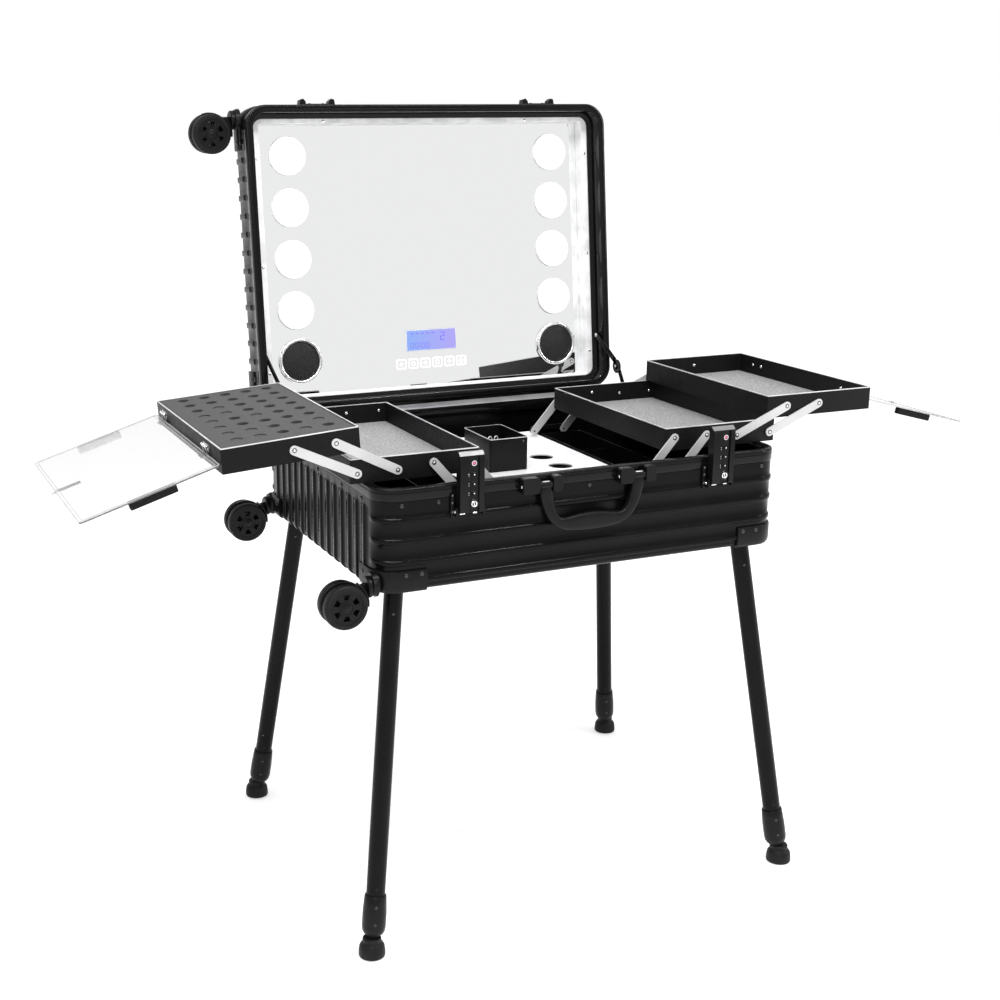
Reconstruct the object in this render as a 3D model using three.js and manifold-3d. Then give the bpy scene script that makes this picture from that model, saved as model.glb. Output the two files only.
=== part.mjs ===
// A makeup train case on legs: a hard-shell trolley case opened into a work table, with cantilever
// trays on both sides and a lit mirror in its lid. Millimetres, +X to the right along the case,
// +Y to the rear, +Z up, and z = 0 on the floor.
import * as THREE from "three";
import { mergeVertices } from "three/addons/utils/BufferGeometryUtils.js";
import Module from "manifold-3d";

// ---- Driving dimensions --------------------------------------------------------------------------
const CASE_WIDTH = 620;
const CASE_DEPTH = 468;
const CORNER_RADIUS = 34;
const BASE_BOTTOM_Z = 501.3;
const BASE_TOP_Z = 641;
const RIM_HEIGHT = 17.2;
const RIM_FACE = 11.5;
const SHELL_INSET = 1;
const SHELL_WALL = 4;
const EDGE_ROUND = 9;
const GAP = 0.3;

const HINGE_OUT = 8;
const HINGE_RADIUS = 5;
const LID_LEAN = THREE.MathUtils.degToRad(6.79);
const LID_THICKNESS = 66;
const FRAME_FRONT = 30;
const MIRROR_DEPTH = 51.4;
const MIRROR_THICKNESS = 4;
const FRAME_OPENING = [563, 423];

const LAMP_X = 231;
const LAMP_HEIGHTS = [155, 235, 315, 395];
const LAMP_RADIUS = 30.2;
const LAMP_RISE = 17;
const SPEAKER_X = [-228, 232];
const SPEAKER_HEIGHT = 75;
const SPEAKER_RADIUS = 36;
const DISPLAY = { left: -43.5, right: 46, low: 78.2, high: 112.4 };

const TRAY_WIDTH = 185;
const TRAY_HEIGHT = 33;
const TRAY_WALL = 4;
const TRAY_FRONT_Y = -187.1;
const TRAY_REAR_Y = 142;
const LINK_WIDTH = 12.5;
const LINK_THICKNESS = 2;
const LINK_GAP = 0.4;
const PIN_RADIUS = 2;
const PIN_HOLE_RADIUS = 2.4;

// Pivots of the right-hand links at (x, z), each pair from the inner end to the outer end.
const LOWER_TRAY = { inner: 144.8, floor: 641.5 };
const UPPER_TRAY = { inner: 315, floor: 674.9 };
const LOWER_LINKS = [
  { from: [111.4, 606], to: [159.1, 660] },
  { from: [164.7, 606], to: [212.4, 660] },
];
const UPPER_LINKS = [
  { from: [264, 655], to: [348.5, 691] },
  { from: [320.5, 655], to: [405, 691] },
];
// The left outer tray rests a little out of level, on slightly steeper links.
const LEFT_TILT = THREE.MathUtils.degToRad(4.2);
const LEFT_UPPER_INNER = [348.8, 698.1];
const PIVOT_PITCH = UPPER_LINKS[1].to[0] - UPPER_LINKS[0].to[0];
const LEFT_UPPER_ENDS = [
  LEFT_UPPER_INNER,
  [
    LEFT_UPPER_INNER[0] + PIVOT_PITCH * Math.cos(LEFT_TILT),
    LEFT_UPPER_INNER[1] - PIVOT_PITCH * Math.sin(LEFT_TILT),
  ],
];

const COVER_PIN = { out: 2.6, above: 24.1 };
const COVER_DROP = 10.5;
const COVER_LENGTH = 186;
const COVER_THICKNESS = 2;
const COVER_ANGLES = { left: 17.4, right: 15 };

const LOCK_X = [-184, 202];
const LOCK = { width: 34.5, low: 602, high: 684, front: -248, back: -235 };
const HANDLE = { left: -73.5, right: 69.5, arm: 19, pivotY: -240.2, pivotZ: 628, low: 561 };

const LEG_TOP = [272.4, 195.1];
const LEG_FOOT = [333.2, 261];
const LEG_RADIUS = 13;
const FERRULE_RADIUS = 16.5;
const INNER_LEG_RADIUS = 10;
const FOOT_RADIUS = 18.4;

const CASTER_Y = 216;
const CASTER_Z = 510;
const CASTER_OUT = 44;
const CASTER_TRAIL = 20;
const WHEEL_RADIUS = 30;
const WHEEL_WIDTH = 13;
const WHEEL_CENTRE_GAP = 4;

// ---- Solids --------------------------------------------------------------------------------------
const wasm = await Module();
wasm.setup();

// One closed solid from a closed three.js geometry.
function solid(geometry) {
  const bare = geometry.clone();
  bare.deleteAttribute("normal");
  bare.deleteAttribute("uv");
  const merged = mergeVertices(bare, 1e-4);
  const vertProperties = merged.attributes.position.array;
  const triVerts = new Uint32Array(merged.index.array);
  return new wasm.Manifold(new wasm.Mesh({ numProp: 3, vertProperties, triVerts }));
}

function join(solids) {
  return solids.reduce((all, next) => all.add(next));
}

function cut(body, tools) {
  return body.subtract(join(tools));
}

function geometryOf(body) {
  const { vertProperties, triVerts } = body.getMesh();
  const geometry = new THREE.BufferGeometry();
  geometry.setAttribute("position", new THREE.BufferAttribute(vertProperties, 3));
  geometry.setIndex(new THREE.BufferAttribute(triVerts, 1));
  geometry.computeVertexNormals();
  return geometry;
}

function block(x, y, z) {
  const geometry = new THREE.BoxGeometry(x[1] - x[0], y[1] - y[0], z[1] - z[0]);
  geometry.translate((x[0] + x[1]) / 2, (y[0] + y[1]) / 2, (z[0] + z[1]) / 2);
  return solid(geometry);
}

// A round bar between two points.
function rod(from, to, radius, sides = 12) {
  const start = new THREE.Vector3(...from);
  const along = new THREE.Vector3(...to).sub(start);
  const geometry = new THREE.CylinderGeometry(radius, radius, along.length(), sides);
  geometry.translate(0, along.length() / 2, 0);
  const up = new THREE.Vector3(0, 1, 0);
  geometry.applyQuaternion(new THREE.Quaternion().setFromUnitVectors(up, along.normalize()));
  geometry.translate(start.x, start.y, start.z);
  return solid(geometry);
}

function roundedRectangle(width, height, radius) {
  const x = width / 2 - radius;
  const y = height / 2 - radius;
  const shape = new THREE.Shape();
  shape.absarc(x, y, radius, 0, Math.PI / 2);
  shape.absarc(-x, y, radius, Math.PI / 2, Math.PI);
  shape.absarc(-x, -y, radius, Math.PI, 1.5 * Math.PI);
  shape.absarc(x, -y, radius, 1.5 * Math.PI, 2 * Math.PI);
  shape.closePath();
  return shape;
}

// A shape drawn in X and Y, standing between two heights.
function slab(shape, low, high, curveSegments = 3) {
  const geometry = new THREE.ExtrudeGeometry(shape, {
    depth: high - low,
    bevelEnabled: false,
    curveSegments,
  });
  geometry.translate(0, 0, low);
  return solid(geometry);
}

// A shape drawn in X and Z, between two places along Y.
function uprightSlab(shape, front, back, curveSegments = 4) {
  const geometry = new THREE.ExtrudeGeometry(shape, {
    depth: back - front,
    bevelEnabled: false,
    curveSegments,
  });
  geometry.rotateX(Math.PI / 2);
  geometry.translate(0, back, 0);
  return solid(geometry);
}

// A shape drawn in Y and Z, between two places along X.
function sideSlab(shape, left, right, curveSegments = 3) {
  const geometry = new THREE.ExtrudeGeometry(shape, {
    depth: right - left,
    bevelEnabled: false,
    curveSegments,
  });
  const turn = new THREE.Matrix4().makeBasis(
    new THREE.Vector3(0, 1, 0),
    new THREE.Vector3(0, 0, 1),
    new THREE.Vector3(1, 0, 0),
  );
  geometry.applyMatrix4(turn);
  geometry.translate(left, 0, 0);
  return solid(geometry);
}

function polygon(points) {
  return new THREE.Shape(points.map(([x, y]) => new THREE.Vector2(x, y)));
}

// A flat bar with round ends between two points, with a hole at each end where one is asked for.
function barShape(from, to, width, holeRadius) {
  const direction = Math.atan2(to[1] - from[1], to[0] - from[0]);
  const shape = new THREE.Shape();
  const quarter = Math.PI / 2;
  shape.absarc(to[0], to[1], width / 2, direction - quarter, direction + quarter);
  shape.absarc(from[0], from[1], width / 2, direction + quarter, direction + 3 * quarter);
  shape.closePath();
  for (const end of holeRadius ? [from, to] : []) {
    const hole = new THREE.Path();
    hole.absarc(end[0], end[1], holeRadius, 0, 2 * Math.PI, true);
    shape.holes.push(hole);
  }
  return shape;
}

// The shape of a disc, centred at a point.
function discShape(centre, radius) {
  const shape = new THREE.Shape();
  shape.absarc(centre[0], centre[1], radius, 0, 2 * Math.PI);
  return shape;
}

// ---- Materials -----------------------------------------------------------------------------------
function material(color, roughness, metalness, more = {}) {
  return new THREE.MeshStandardMaterial({ color, roughness, metalness, ...more });
}

const MATERIALS = {
  shell: material(0x17181a, 0.42, 0.4),
  rim: material(0x1c1d1f, 0.35, 0.8),
  blackPlastic: material(0x141414, 0.5, 0),
  leather: material(0x1d1d1e, 0.65, 0),
  silver: material(0xd9dadc, 0.35, 0.6),
  steel: material(0xc9cbcf, 0.25, 1),
  white: material(0xf2f3f4, 0.4, 0),
  mirror: material(0xe6e9eb, 0.03, 1),
  lamp: material(0xffffff, 0.3, 0, { emissive: 0xffffff }),
  speaker: material(0x1a1a1b, 0.5, 0.2),
  panel: material(0x5f78c8, 0.3, 0),
  foam: material(0x161616, 0.95, 0),
  clear: material(0xf4f6f7, 0.08, 0, { transparent: true, opacity: 0.3 }),
  tube: material(0x121213, 0.45, 0.5),
  rubber: material(0x0f0f10, 0.85, 0),
};

const root = new THREE.Group();

function addMesh(parent, name, body, finish) {
  const mesh = new THREE.Mesh(geometryOf(body), MATERIALS[finish]);
  mesh.name = name;
  parent.add(mesh);
  return mesh;
}

function addGroup(parent, x, y, z) {
  const group = new THREE.Group();
  group.position.set(x, y, z);
  parent.add(group);
  return group;
}

// ---- Base of the case ----------------------------------------------------------------------------
const RIM_LOW_Z = BASE_TOP_Z - RIM_HEIGHT;
const SHELL_WIDTH = CASE_WIDTH - 2 * SHELL_INSET;
const SHELL_DEPTH = CASE_DEPTH - 2 * SHELL_INSET;
const FLOOR_Z = BASE_BOTTOM_Z + SHELL_WALL;
const RODS = { y: 105, z: 516, width: 12, height: 9 };

// A tray-shaped shell with rounded lower edges, open at the top.
function shellBody(low, high) {
  const rounded = new THREE.ExtrudeGeometry(
    roundedRectangle(
      SHELL_WIDTH - 2 * EDGE_ROUND,
      SHELL_DEPTH - 2 * EDGE_ROUND,
      CORNER_RADIUS - EDGE_ROUND,
    ),
    {
      depth: high - low,
      bevelEnabled: true,
      bevelThickness: EDGE_ROUND,
      bevelSize: EDGE_ROUND,
      bevelSegments: 2,
      curveSegments: 3,
    },
  );
  rounded.translate(0, 0, low + EDGE_ROUND);
  const inner = roundedRectangle(
    SHELL_WIDTH - 2 * SHELL_WALL,
    SHELL_DEPTH - 2 * SHELL_WALL,
    CORNER_RADIUS - SHELL_WALL,
  );
  const far = CASE_WIDTH;
  return cut(solid(rounded), [
    slab(inner, low + SHELL_WALL, high + far),
    block([-far, far], [-far, far], [high, high + far]),
  ]);
}

// A rounded ring of the case's outline, between two insets from its edge.
function ring(outerInset, innerInset, low, high) {
  const outline = (inset) =>
    roundedRectangle(
      CASE_WIDTH - 2 * inset,
      CASE_DEPTH - 2 * inset,
      Math.max(CORNER_RADIUS - inset, 6),
    );
  const hollow = slab(outline(innerInset), low - 1, high + 1);
  return cut(slab(outline(outerInset), low, high), [hollow]);
}

// A leg's direction and the points along it, for the corner with the given signs.
function legLine(signX, signY) {
  const top = new THREE.Vector3(signX * LEG_TOP[0], signY * LEG_TOP[1], BASE_BOTTOM_Z);
  const foot = new THREE.Vector3(signX * LEG_FOOT[0], signY * LEG_FOOT[1], 0);
  const along = foot.clone().sub(top).normalize();
  const at = (distance) => top.clone().addScaledVector(along, distance).toArray();
  return { at, along, length: foot.distanceTo(top) };
}

const CORNERS = [
  { name: "front_left", x: -1, y: -1 },
  { name: "front_right", x: 1, y: -1 },
  { name: "rear_left", x: -1, y: 1 },
  { name: "rear_right", x: 1, y: 1 },
];
const STUD_RADIUS = 8;
const STUD_LENGTH = 32;

function baseShell() {
  const far = 2 * STUD_LENGTH;
  const sockets = CORNERS.map(({ x, y }) => {
    const leg = legLine(x, y);
    const socket = rod(leg.at(-STUD_LENGTH - 4), leg.at(0), STUD_RADIUS + 6, 12);
    const slice = block(
      [x * LEG_TOP[0] - far, x * LEG_TOP[0] + far],
      [y * LEG_TOP[1] - far, y * LEG_TOP[1] + far],
      [FLOOR_Z - 1, FLOOR_Z + far],
    );
    return socket.intersect(slice);
  });
  const studHoles = CORNERS.map(({ x, y }) => {
    const leg = legLine(x, y);
    return rod(leg.at(-STUD_LENGTH - 0.6), leg.at(10), STUD_RADIUS + 0.4, 12);
  });
  // Two square guides on the floor carry the trolley handle's rods.
  const end = SHELL_WIDTH / 2;
  const guides = [-1, 1].flatMap((side) =>
    [-40, end - 50].map((x) =>
      block(
        [x, x + 48],
        [side * RODS.y - 10, side * RODS.y + 10],
        [FLOOR_Z - 1, RODS.z + 9],
      ),
    ),
  );
  const rodHoles = [-1, 1].map((side) =>
    block(
      [-100, end + 10],
      [side * RODS.y - RODS.width / 2 - 0.5, side * RODS.y + RODS.width / 2 + 0.5],
      [RODS.z - RODS.height / 2 - 0.5, RODS.z + RODS.height / 2 + 0.5],
    ),
  );
  const casterBosses = [-1, 1].map((side) =>
    rod([-end + 2, side * CASTER_Y, CASTER_Z + 3], [-end - 6, side * CASTER_Y, CASTER_Z + 3], 16),
  );
  const lockEars = LOCK_X.flatMap((x) =>
    [-1, 1].map((side) => {
      const ear = x + side * (LOCK.width / 2 + 2);
      return block(
        [ear - 1.5, ear + 1.5],
        [LOCK.front + 4, -SHELL_DEPTH / 2 + 1],
        [LOCK.low - 4, LOCK.low + 8],
      );
    }),
  );
  const body = join([
    shellBody(BASE_BOTTOM_Z, RIM_LOW_Z - GAP),
    ...sockets,
    ...guides,
    ...casterBosses,
    ...lockEars,
  ]);
  return cut(body, [...studHoles, ...rodHoles]);
}

const HINGE_Y = CASE_DEPTH / 2 + HINGE_OUT;
const BASE_KNUCKLES = [
  [-240, -160],
  [-40, 40],
  [160, 240],
];
const LID_KNUCKLES = [
  [-159.6, -40.4],
  [40.4, 159.6],
];

function baseRim() {
  const parts = [ring(0, RIM_FACE, RIM_LOW_Z, BASE_TOP_Z)];
  for (const [left, right] of BASE_KNUCKLES) {
    parts.push(rod([left, HINGE_Y, BASE_TOP_Z], [right, HINGE_Y, BASE_TOP_Z], HINGE_RADIUS));
    parts.push(
      block([left, right], [CASE_DEPTH / 2 - 2, HINGE_Y], [BASE_TOP_Z - 5, BASE_TOP_Z - 1.5]),
    );
  }
  return join(parts);
}

addMesh(root, "base_shell", baseShell(), "shell");
addMesh(root, "base_rim", baseRim(), "rim");

// ---- Inside of the base --------------------------------------------------------------------------
const INNER_FLOOR = FLOOR_Z + GAP;
const RISER = { half: 118, front: -178, rear: 171, top: 590, lip: 600, step: 88 };
// The boxes stand on feet, clear of the trolley handle's rods.
const FOOT_TOP = 530;

function feetUnder(x, y, size) {
  return x.flatMap((near, i) =>
    y.map((front, j) => {
      const spanX = i ? [near - size, near] : [near, near + size];
      const spanY = j ? [front - size, front] : [front, front + size];
      return block(spanX, spanY, [INNER_FLOOR, FOOT_TOP + 1]);
    }),
  );
}

function centreTray() {
  const { half, front, rear, top, lip, step } = RISER;
  const sheet = 1.6;
  const side = (x) => block([x, x + sheet], [front, rear], [FOOT_TOP, lip]);
  const rearStep = sideSlab(
    polygon([
      [step, top - 1],
      [step + 14, top + 7],
      [rear, top + 7],
      [rear, top - sheet],
      [step, top - sheet],
    ]),
    -half + 1,
    half - 1,
  );
  const body = join([
    block([-half, half], [front, rear], [top - sheet, top]),
    side(-half),
    side(half - sheet),
    block([-half, half], [front, front + sheet], [top - sheet, lip]),
    block([-half, half], [rear - sheet, rear], [top - sheet, lip]),
    rearStep,
    ...feetUnder([-half, half], [front, rear], sheet),
  ]);
  const holes = [-70, 70].flatMap((x) =>
    [40, -21].map((y) => rod([x, y, top - 5], [x, y, top + 5], 18, 16)),
  );
  return cut(body, holes);
}

const RAIL = { width: 13, low: 590, thickness: 3 };
const LINK_FRONT = [TRAY_FRONT_Y - LINK_GAP - LINK_THICKNESS, TRAY_FRONT_Y - LINK_GAP];

// A pivot rail outside the links at one end of a box, with its pins pointing back at the box.
function pivotRail(side, atFront) {
  const pins = LOWER_LINKS.map(({ from }) => from);
  const near = atFront ? LINK_FRONT[0] - LINK_GAP : TRAY_REAR_Y + LINK_GAP + LINK_THICKNESS;
  const outer = atFront ? near - RAIL.thickness : near + LINK_GAP + RAIL.thickness;
  const inner = atFront ? near : near + LINK_GAP;
  const tip = atFront ? TRAY_FRONT_Y - 0.2 : TRAY_REAR_Y + 0.2;
  const span = [inner, outer].sort((a, b) => a - b);
  const height = pins[0][1] + 1.5;
  const bar = barShape([side * pins[0][0], height], [side * pins[1][0], height], RAIL.width);
  const web = [side * 124, side * 173].sort((a, b) => a - b);
  const inside = (inner + outer) / 2;
  const made = pins.map(([x, z]) => rod([side * x, inside, z], [side * x, tip, z], PIN_RADIUS, 8));
  return [uprightSlab(bar, ...span), block(web, span, [RAIL.low, height]), ...made];
}

function organizer(side) {
  const sheet = 1.6;
  const x = [side * 122, side * 193].sort((a, b) => a - b);
  const y = [-184, 140];
  const z = [FOOT_TOP, 602];
  const hollow = (from, to) =>
    block([x[0] + sheet, x[1] - sheet], [from, to], [z[0] + sheet, z[1] + 10]);
  const body = cut(block(x, y, z), [
    hollow(y[0] + sheet, -76),
    hollow(-76 + sheet, 32),
    hollow(32 + sheet, y[1] - sheet),
  ]);
  const web = [side * 124, side * 173].sort((a, b) => a - b);
  const shelves = [
    block(web, [LINK_FRONT[0] - 3.4, y[0] + 1], [RAIL.low, 597.5]),
    block(web, [y[1] - 1, TRAY_REAR_Y + 5.6], [RAIL.low, 597.5]),
  ];
  const rails = [...pivotRail(side, true), ...pivotRail(side, false)];
  return join([body, ...shelves, ...rails, ...feetUnder(x, y, 12)]);
}

function brushBox() {
  const x = [-47, 15];
  const y = [-20, 72];
  const z = [RISER.top + GAP, 640];
  const wall = 1.6;
  const hollow = block(
    [x[0] + wall, x[1] - wall],
    [y[0] + wall, y[1] - wall],
    [z[0] + wall, z[1] + wall],
  );
  return cut(block(x, y, z), [hollow]);
}

addMesh(root, "center_tray", centreTray(), "silver");
addMesh(root, "organizer_left", organizer(-1), "blackPlastic");
addMesh(root, "organizer_right", organizer(1), "blackPlastic");
addMesh(root, "brush_box", brushBox(), "blackPlastic");

// ---- Trays, links and covers ---------------------------------------------------------------------
const SIDES = { left: -1, right: 1 };
const UPPER_PIVOTS_RIGHT = UPPER_LINKS.map(({ to }) => [to[0], to[1]]);

// A tray in its own frame: X from its inner edge outwards, Z from its underside. Its pins stand out
// of both ends; the pin of the second link below it is only a short stud that stops before the bar.
function trayBody(side, pinsBelow, pinsAbove) {
  const x = [0, side * TRAY_WIDTH].sort((a, b) => a - b);
  const y = [TRAY_FRONT_Y, TRAY_REAR_Y];
  const hollow = block(
    [x[0] + TRAY_WALL, x[1] - TRAY_WALL],
    [y[0] + TRAY_WALL, y[1] - TRAY_WALL],
    [3, TRAY_HEIGHT + 10],
  );
  const body = cut(block(x, y, [0, TRAY_HEIGHT]), [hollow]);
  const full = LINK_GAP + LINK_THICKNESS + GAP;
  const stub = LINK_GAP - 0.15;
  const studs = [...pinsBelow, ...pinsAbove].flatMap(([pinX, pinZ], i) => {
    const proud = i === 1 ? stub : full;
    const at = (place) => [side * pinX, place, pinZ];
    return [
      rod(at(y[0] + 1), at(y[0] - proud), PIN_RADIUS, 8),
      rod(at(y[1] - 1), at(y[1] + proud), PIN_RADIUS, 8),
    ];
  });
  return join([body, ...studs]);
}

// Barrel lugs on the outer face carry the cover's hinge.
const COVER_HINGES = [-120, 96];

function coverLugs(side) {
  const pinX = side * (TRAY_WIDTH + COVER_PIN.out);
  return COVER_HINGES.flatMap((y) => [
    block(
      [side * (TRAY_WIDTH - 1), pinX].sort((a, b) => a - b),
      [y - 3.6, y + 3.6],
      [COVER_PIN.above - 1.6, COVER_PIN.above + 1.6],
    ),
    rod([pinX, y - 3.6, COVER_PIN.above], [pinX, y + 3.6, COVER_PIN.above], 2.2, 8),
  ]);
}

// A cover in the frame of its hinge pin, open and level, reaching outwards from the tray.
function coverBody(side) {
  const start = 1.8;
  const sheet = block(
    [side * start, side * (start + COVER_LENGTH)].sort((a, b) => a - b),
    [TRAY_FRONT_Y, TRAY_REAR_Y],
    [-COVER_DROP - COVER_THICKNESS, -COVER_DROP],
  );
  const hinges = COVER_HINGES.flatMap((y) =>
    [-1, 1].flatMap((end) => {
      const near = y + end * 4;
      const far = y + end * 12;
      const span = [near, far].sort((a, b) => a - b);
      return [
        rod([0, near, 0], [0, far, 0], 2.2, 8),
        block([side * 0.9, side * 2.4].sort((a, b) => a - b), span, [-COVER_DROP - 1, 0]),
      ];
    }),
  );
  const plates = COVER_HINGES.map((y) =>
    block(
      [side * 0.9, side * 26].sort((a, b) => a - b),
      [y - 12, y + 12],
      [-COVER_DROP - 0.5, -COVER_DROP + 1],
    ),
  );
  const middle = (TRAY_FRONT_Y + TRAY_REAR_Y) / 2;
  const tip = start + COVER_LENGTH;
  const latch = block(
    [side * (tip - 12), side * (tip + 7)].sort((a, b) => a - b),
    [middle - 8, middle + 8],
    [-COVER_DROP - 0.5, -COVER_DROP + 1.5],
  );
  return join([sheet, ...hinges, ...plates, latch]);
}

function addLink(name, side, from, to) {
  const group = addGroup(root, side * from[0], 0, from[1]);
  const end = [side * (to[0] - from[0]), to[1] - from[1]];
  const shape = barShape([0, 0], end, LINK_WIDTH, PIN_HOLE_RADIUS);
  addMesh(group, name, uprightSlab(shape, ...LINK_FRONT, 3), "steel");
}

for (const [sideName, side] of Object.entries(SIDES)) {
  const upperEnds = side > 0 ? UPPER_PIVOTS_RIGHT : LEFT_UPPER_ENDS;
  const linkNames = ["inner", "outer"];
  LOWER_LINKS.forEach(({ from, to }, i) => {
    addLink(`link_${sideName}_lower_${linkNames[i]}`, side, from, to);
  });
  UPPER_LINKS.forEach(({ from }, i) => {
    addLink(`link_${sideName}_upper_${linkNames[i]}`, side, from, upperEnds[i]);
  });

  const lower = addGroup(root, side * LOWER_TRAY.inner, 0, LOWER_TRAY.floor);
  const inTray = (tray) => (point) => [point[0] - tray.inner, point[1] - tray.floor];
  const lowerEnds = LOWER_LINKS.map(({ to }) => to).map(inTray(LOWER_TRAY));
  const upperStarts = UPPER_LINKS.map(({ from }) => from).map(inTray(LOWER_TRAY));
  addMesh(lower, `tray_${sideName}_lower`, trayBody(side, lowerEnds, upperStarts), "leather");

  // The upper tray turns about its inner pivot; on the left it droops towards its outer edge.
  const tilt = side > 0 ? 0 : LEFT_TILT;
  const pivot = upperEnds[0];
  const turned = addGroup(root, side * pivot[0], 0, pivot[1]);
  turned.rotation.y = side * tilt;
  const local = UPPER_PIVOTS_RIGHT.map(inTray(UPPER_TRAY));
  const upper = addGroup(turned, -side * local[0][0], 0, -local[0][1]);
  addMesh(
    upper,
    `tray_${sideName}_upper`,
    join([trayBody(side, local, []), ...coverLugs(side)]),
    "leather",
  );

  if (side < 0) {
    const inset = TRAY_WALL + GAP;
    const foam = block(
      [-TRAY_WIDTH + inset, -inset],
      [TRAY_FRONT_Y + inset, TRAY_REAR_Y - inset],
      [3 + GAP, TRAY_HEIGHT],
    );
    addMesh(upper, "foam_insert", foam, "foam");
  }

  const pinX = side * (TRAY_WIDTH + COVER_PIN.out);
  const coverGroup = addGroup(upper, pinX, 0, COVER_PIN.above);
  const drop = THREE.MathUtils.degToRad(COVER_ANGLES[sideName]) - tilt;
  coverGroup.rotation.y = side * drop;
  addMesh(coverGroup, `cover_${sideName}`, coverBody(side), "clear");
}

// ---- Locks and carry handle ----------------------------------------------------------------------
function lockLever(x) {
  const half = LOCK.width / 2;
  const profile = polygon([
    [LOCK.back, LOCK.low],
    [LOCK.back, LOCK.high - 3],
    [LOCK.back - 3, LOCK.high],
    [LOCK.front + 6, LOCK.high],
    [LOCK.front, LOCK.high - 7],
    [LOCK.front, LOCK.low + 4],
    [LOCK.front + 4, LOCK.low],
  ]);
  const panel = block(
    [x - 7, x + 7],
    [LOCK.front - 1, LOCK.front + 1.5],
    [LOCK.low + 18, LOCK.high - 22],
  );
  return cut(sideSlab(profile, x - half, x + half), [panel]);
}

function handleBracket(centre, reach) {
  const armHalf = HANDLE.arm / 2 + GAP;
  const back = -CASE_DEPTH / 2 - GAP;
  const ears = [
    [centre - armHalf - reach[0], centre - armHalf],
    [centre + armHalf, centre + armHalf + reach[1]],
  ];
  const bodies = ears.map((x) => block(x, [-246, back], [618, 640]));
  const pin = rod(
    [ears[0][0] + 4, HANDLE.pivotY, HANDLE.pivotZ],
    [ears[1][1] - 4, HANDLE.pivotY, HANDLE.pivotZ],
    2.4,
    10,
  );
  return join([...bodies, pin]);
}

function carryHandle() {
  const { left, right, arm, pivotY, pivotZ, low } = HANDLE;
  const [outerLeft, innerLeft] = [left - arm / 2, left + arm / 2];
  const [innerRight, outerRight] = [right - arm / 2, right + arm / 2];
  const bail = new THREE.Shape();
  bail.moveTo(outerLeft, pivotZ);
  bail.lineTo(outerLeft, low + 26);
  bail.bezierCurveTo(outerLeft, low + 12, outerLeft + 12, low, outerLeft + 26, low);
  bail.lineTo(outerRight - 26, low);
  bail.bezierCurveTo(outerRight - 12, low, outerRight, low + 12, outerRight, low + 26);
  bail.lineTo(outerRight, pivotZ);
  bail.lineTo(innerRight, pivotZ);
  bail.lineTo(innerRight, low + 32);
  bail.bezierCurveTo(innerRight, low + 24, innerRight - 8, low + 17, innerRight - 16, low + 17);
  bail.lineTo(innerLeft + 16, low + 17);
  bail.bezierCurveTo(innerLeft + 8, low + 17, innerLeft, low + 24, innerLeft, low + 32);
  bail.lineTo(innerLeft, pivotZ);
  bail.closePath();
  const radius = 5.5;
  const knuckles = [
    [outerLeft, innerLeft],
    [innerRight, outerRight],
  ].map((x) => rod([x[0], pivotY, pivotZ], [x[1], pivotY, pivotZ], radius, 16));
  const body = join([uprightSlab(bail, pivotY - radius, pivotY + radius), ...knuckles]);
  return cut(body, [rod([-120, pivotY, pivotZ], [120, pivotY, pivotZ], 2.8, 10)]);
}

addMesh(root, "lock_lever_left", lockLever(LOCK_X[0]), "blackPlastic");
addMesh(root, "lock_lever_right", lockLever(LOCK_X[1]), "blackPlastic");
addMesh(root, "handle_bracket_left", handleBracket(HANDLE.left, [25.5, 14.5]), "blackPlastic");
addMesh(root, "handle_bracket_right", handleBracket(HANDLE.right, [20.5, 15.5]), "blackPlastic");
addMesh(root, "carry_handle", carryHandle(), "blackPlastic");

// ---- Trolley handle ------------------------------------------------------------------------------
function trolleyHandle() {
  const end = SHELL_WIDTH / 2;
  const rods = [-1, 1].map((side) =>
    block(
      [-90, end + 10],
      [side * RODS.y - RODS.width / 2, side * RODS.y + RODS.width / 2],
      [RODS.z - RODS.height / 2, RODS.z + RODS.height / 2],
    ),
  );
  const half = RODS.y + 14;
  const outline = roundedRectangle(2 * half, 20, 9);
  const grip = sideSlab(outline, end + 3, end + 19).translate([0, 0, RODS.z]);
  return join([...rods, grip]);
}

addMesh(root, "trolley_handle", trolleyHandle(), "blackPlastic");

// ---- Legs ----------------------------------------------------------------------------------------
const BORE_RADIUS = LEG_RADIUS - 2;
const LEG_END = 466;
const FERRULE = { top: 424, bottom: 478 };

function legTube(leg) {
  const tube = rod(leg.at(-6), leg.at(LEG_END), LEG_RADIUS);
  const bore = rod(leg.at(40), leg.at(LEG_END + 10), BORE_RADIUS);
  const [x, y] = leg.at(0);
  const roof = block([x - 60, x + 60], [y - 60, y + 60], [BASE_BOTTOM_Z - GAP, 540]);
  const stud = rod(leg.at(-STUD_LENGTH), leg.at(8), STUD_RADIUS, 12);
  return join([cut(tube, [bore, roof]), stud]);
}

function legFerrule(leg) {
  return cut(rod(leg.at(FERRULE.top), leg.at(FERRULE.bottom), FERRULE_RADIUS), [
    rod(leg.at(FERRULE.top - 5), leg.at(LEG_END + 1), LEG_RADIUS + GAP),
    rod(leg.at(LEG_END), leg.at(FERRULE.bottom + 5), INNER_LEG_RADIUS + 0.4),
  ]);
}

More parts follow.
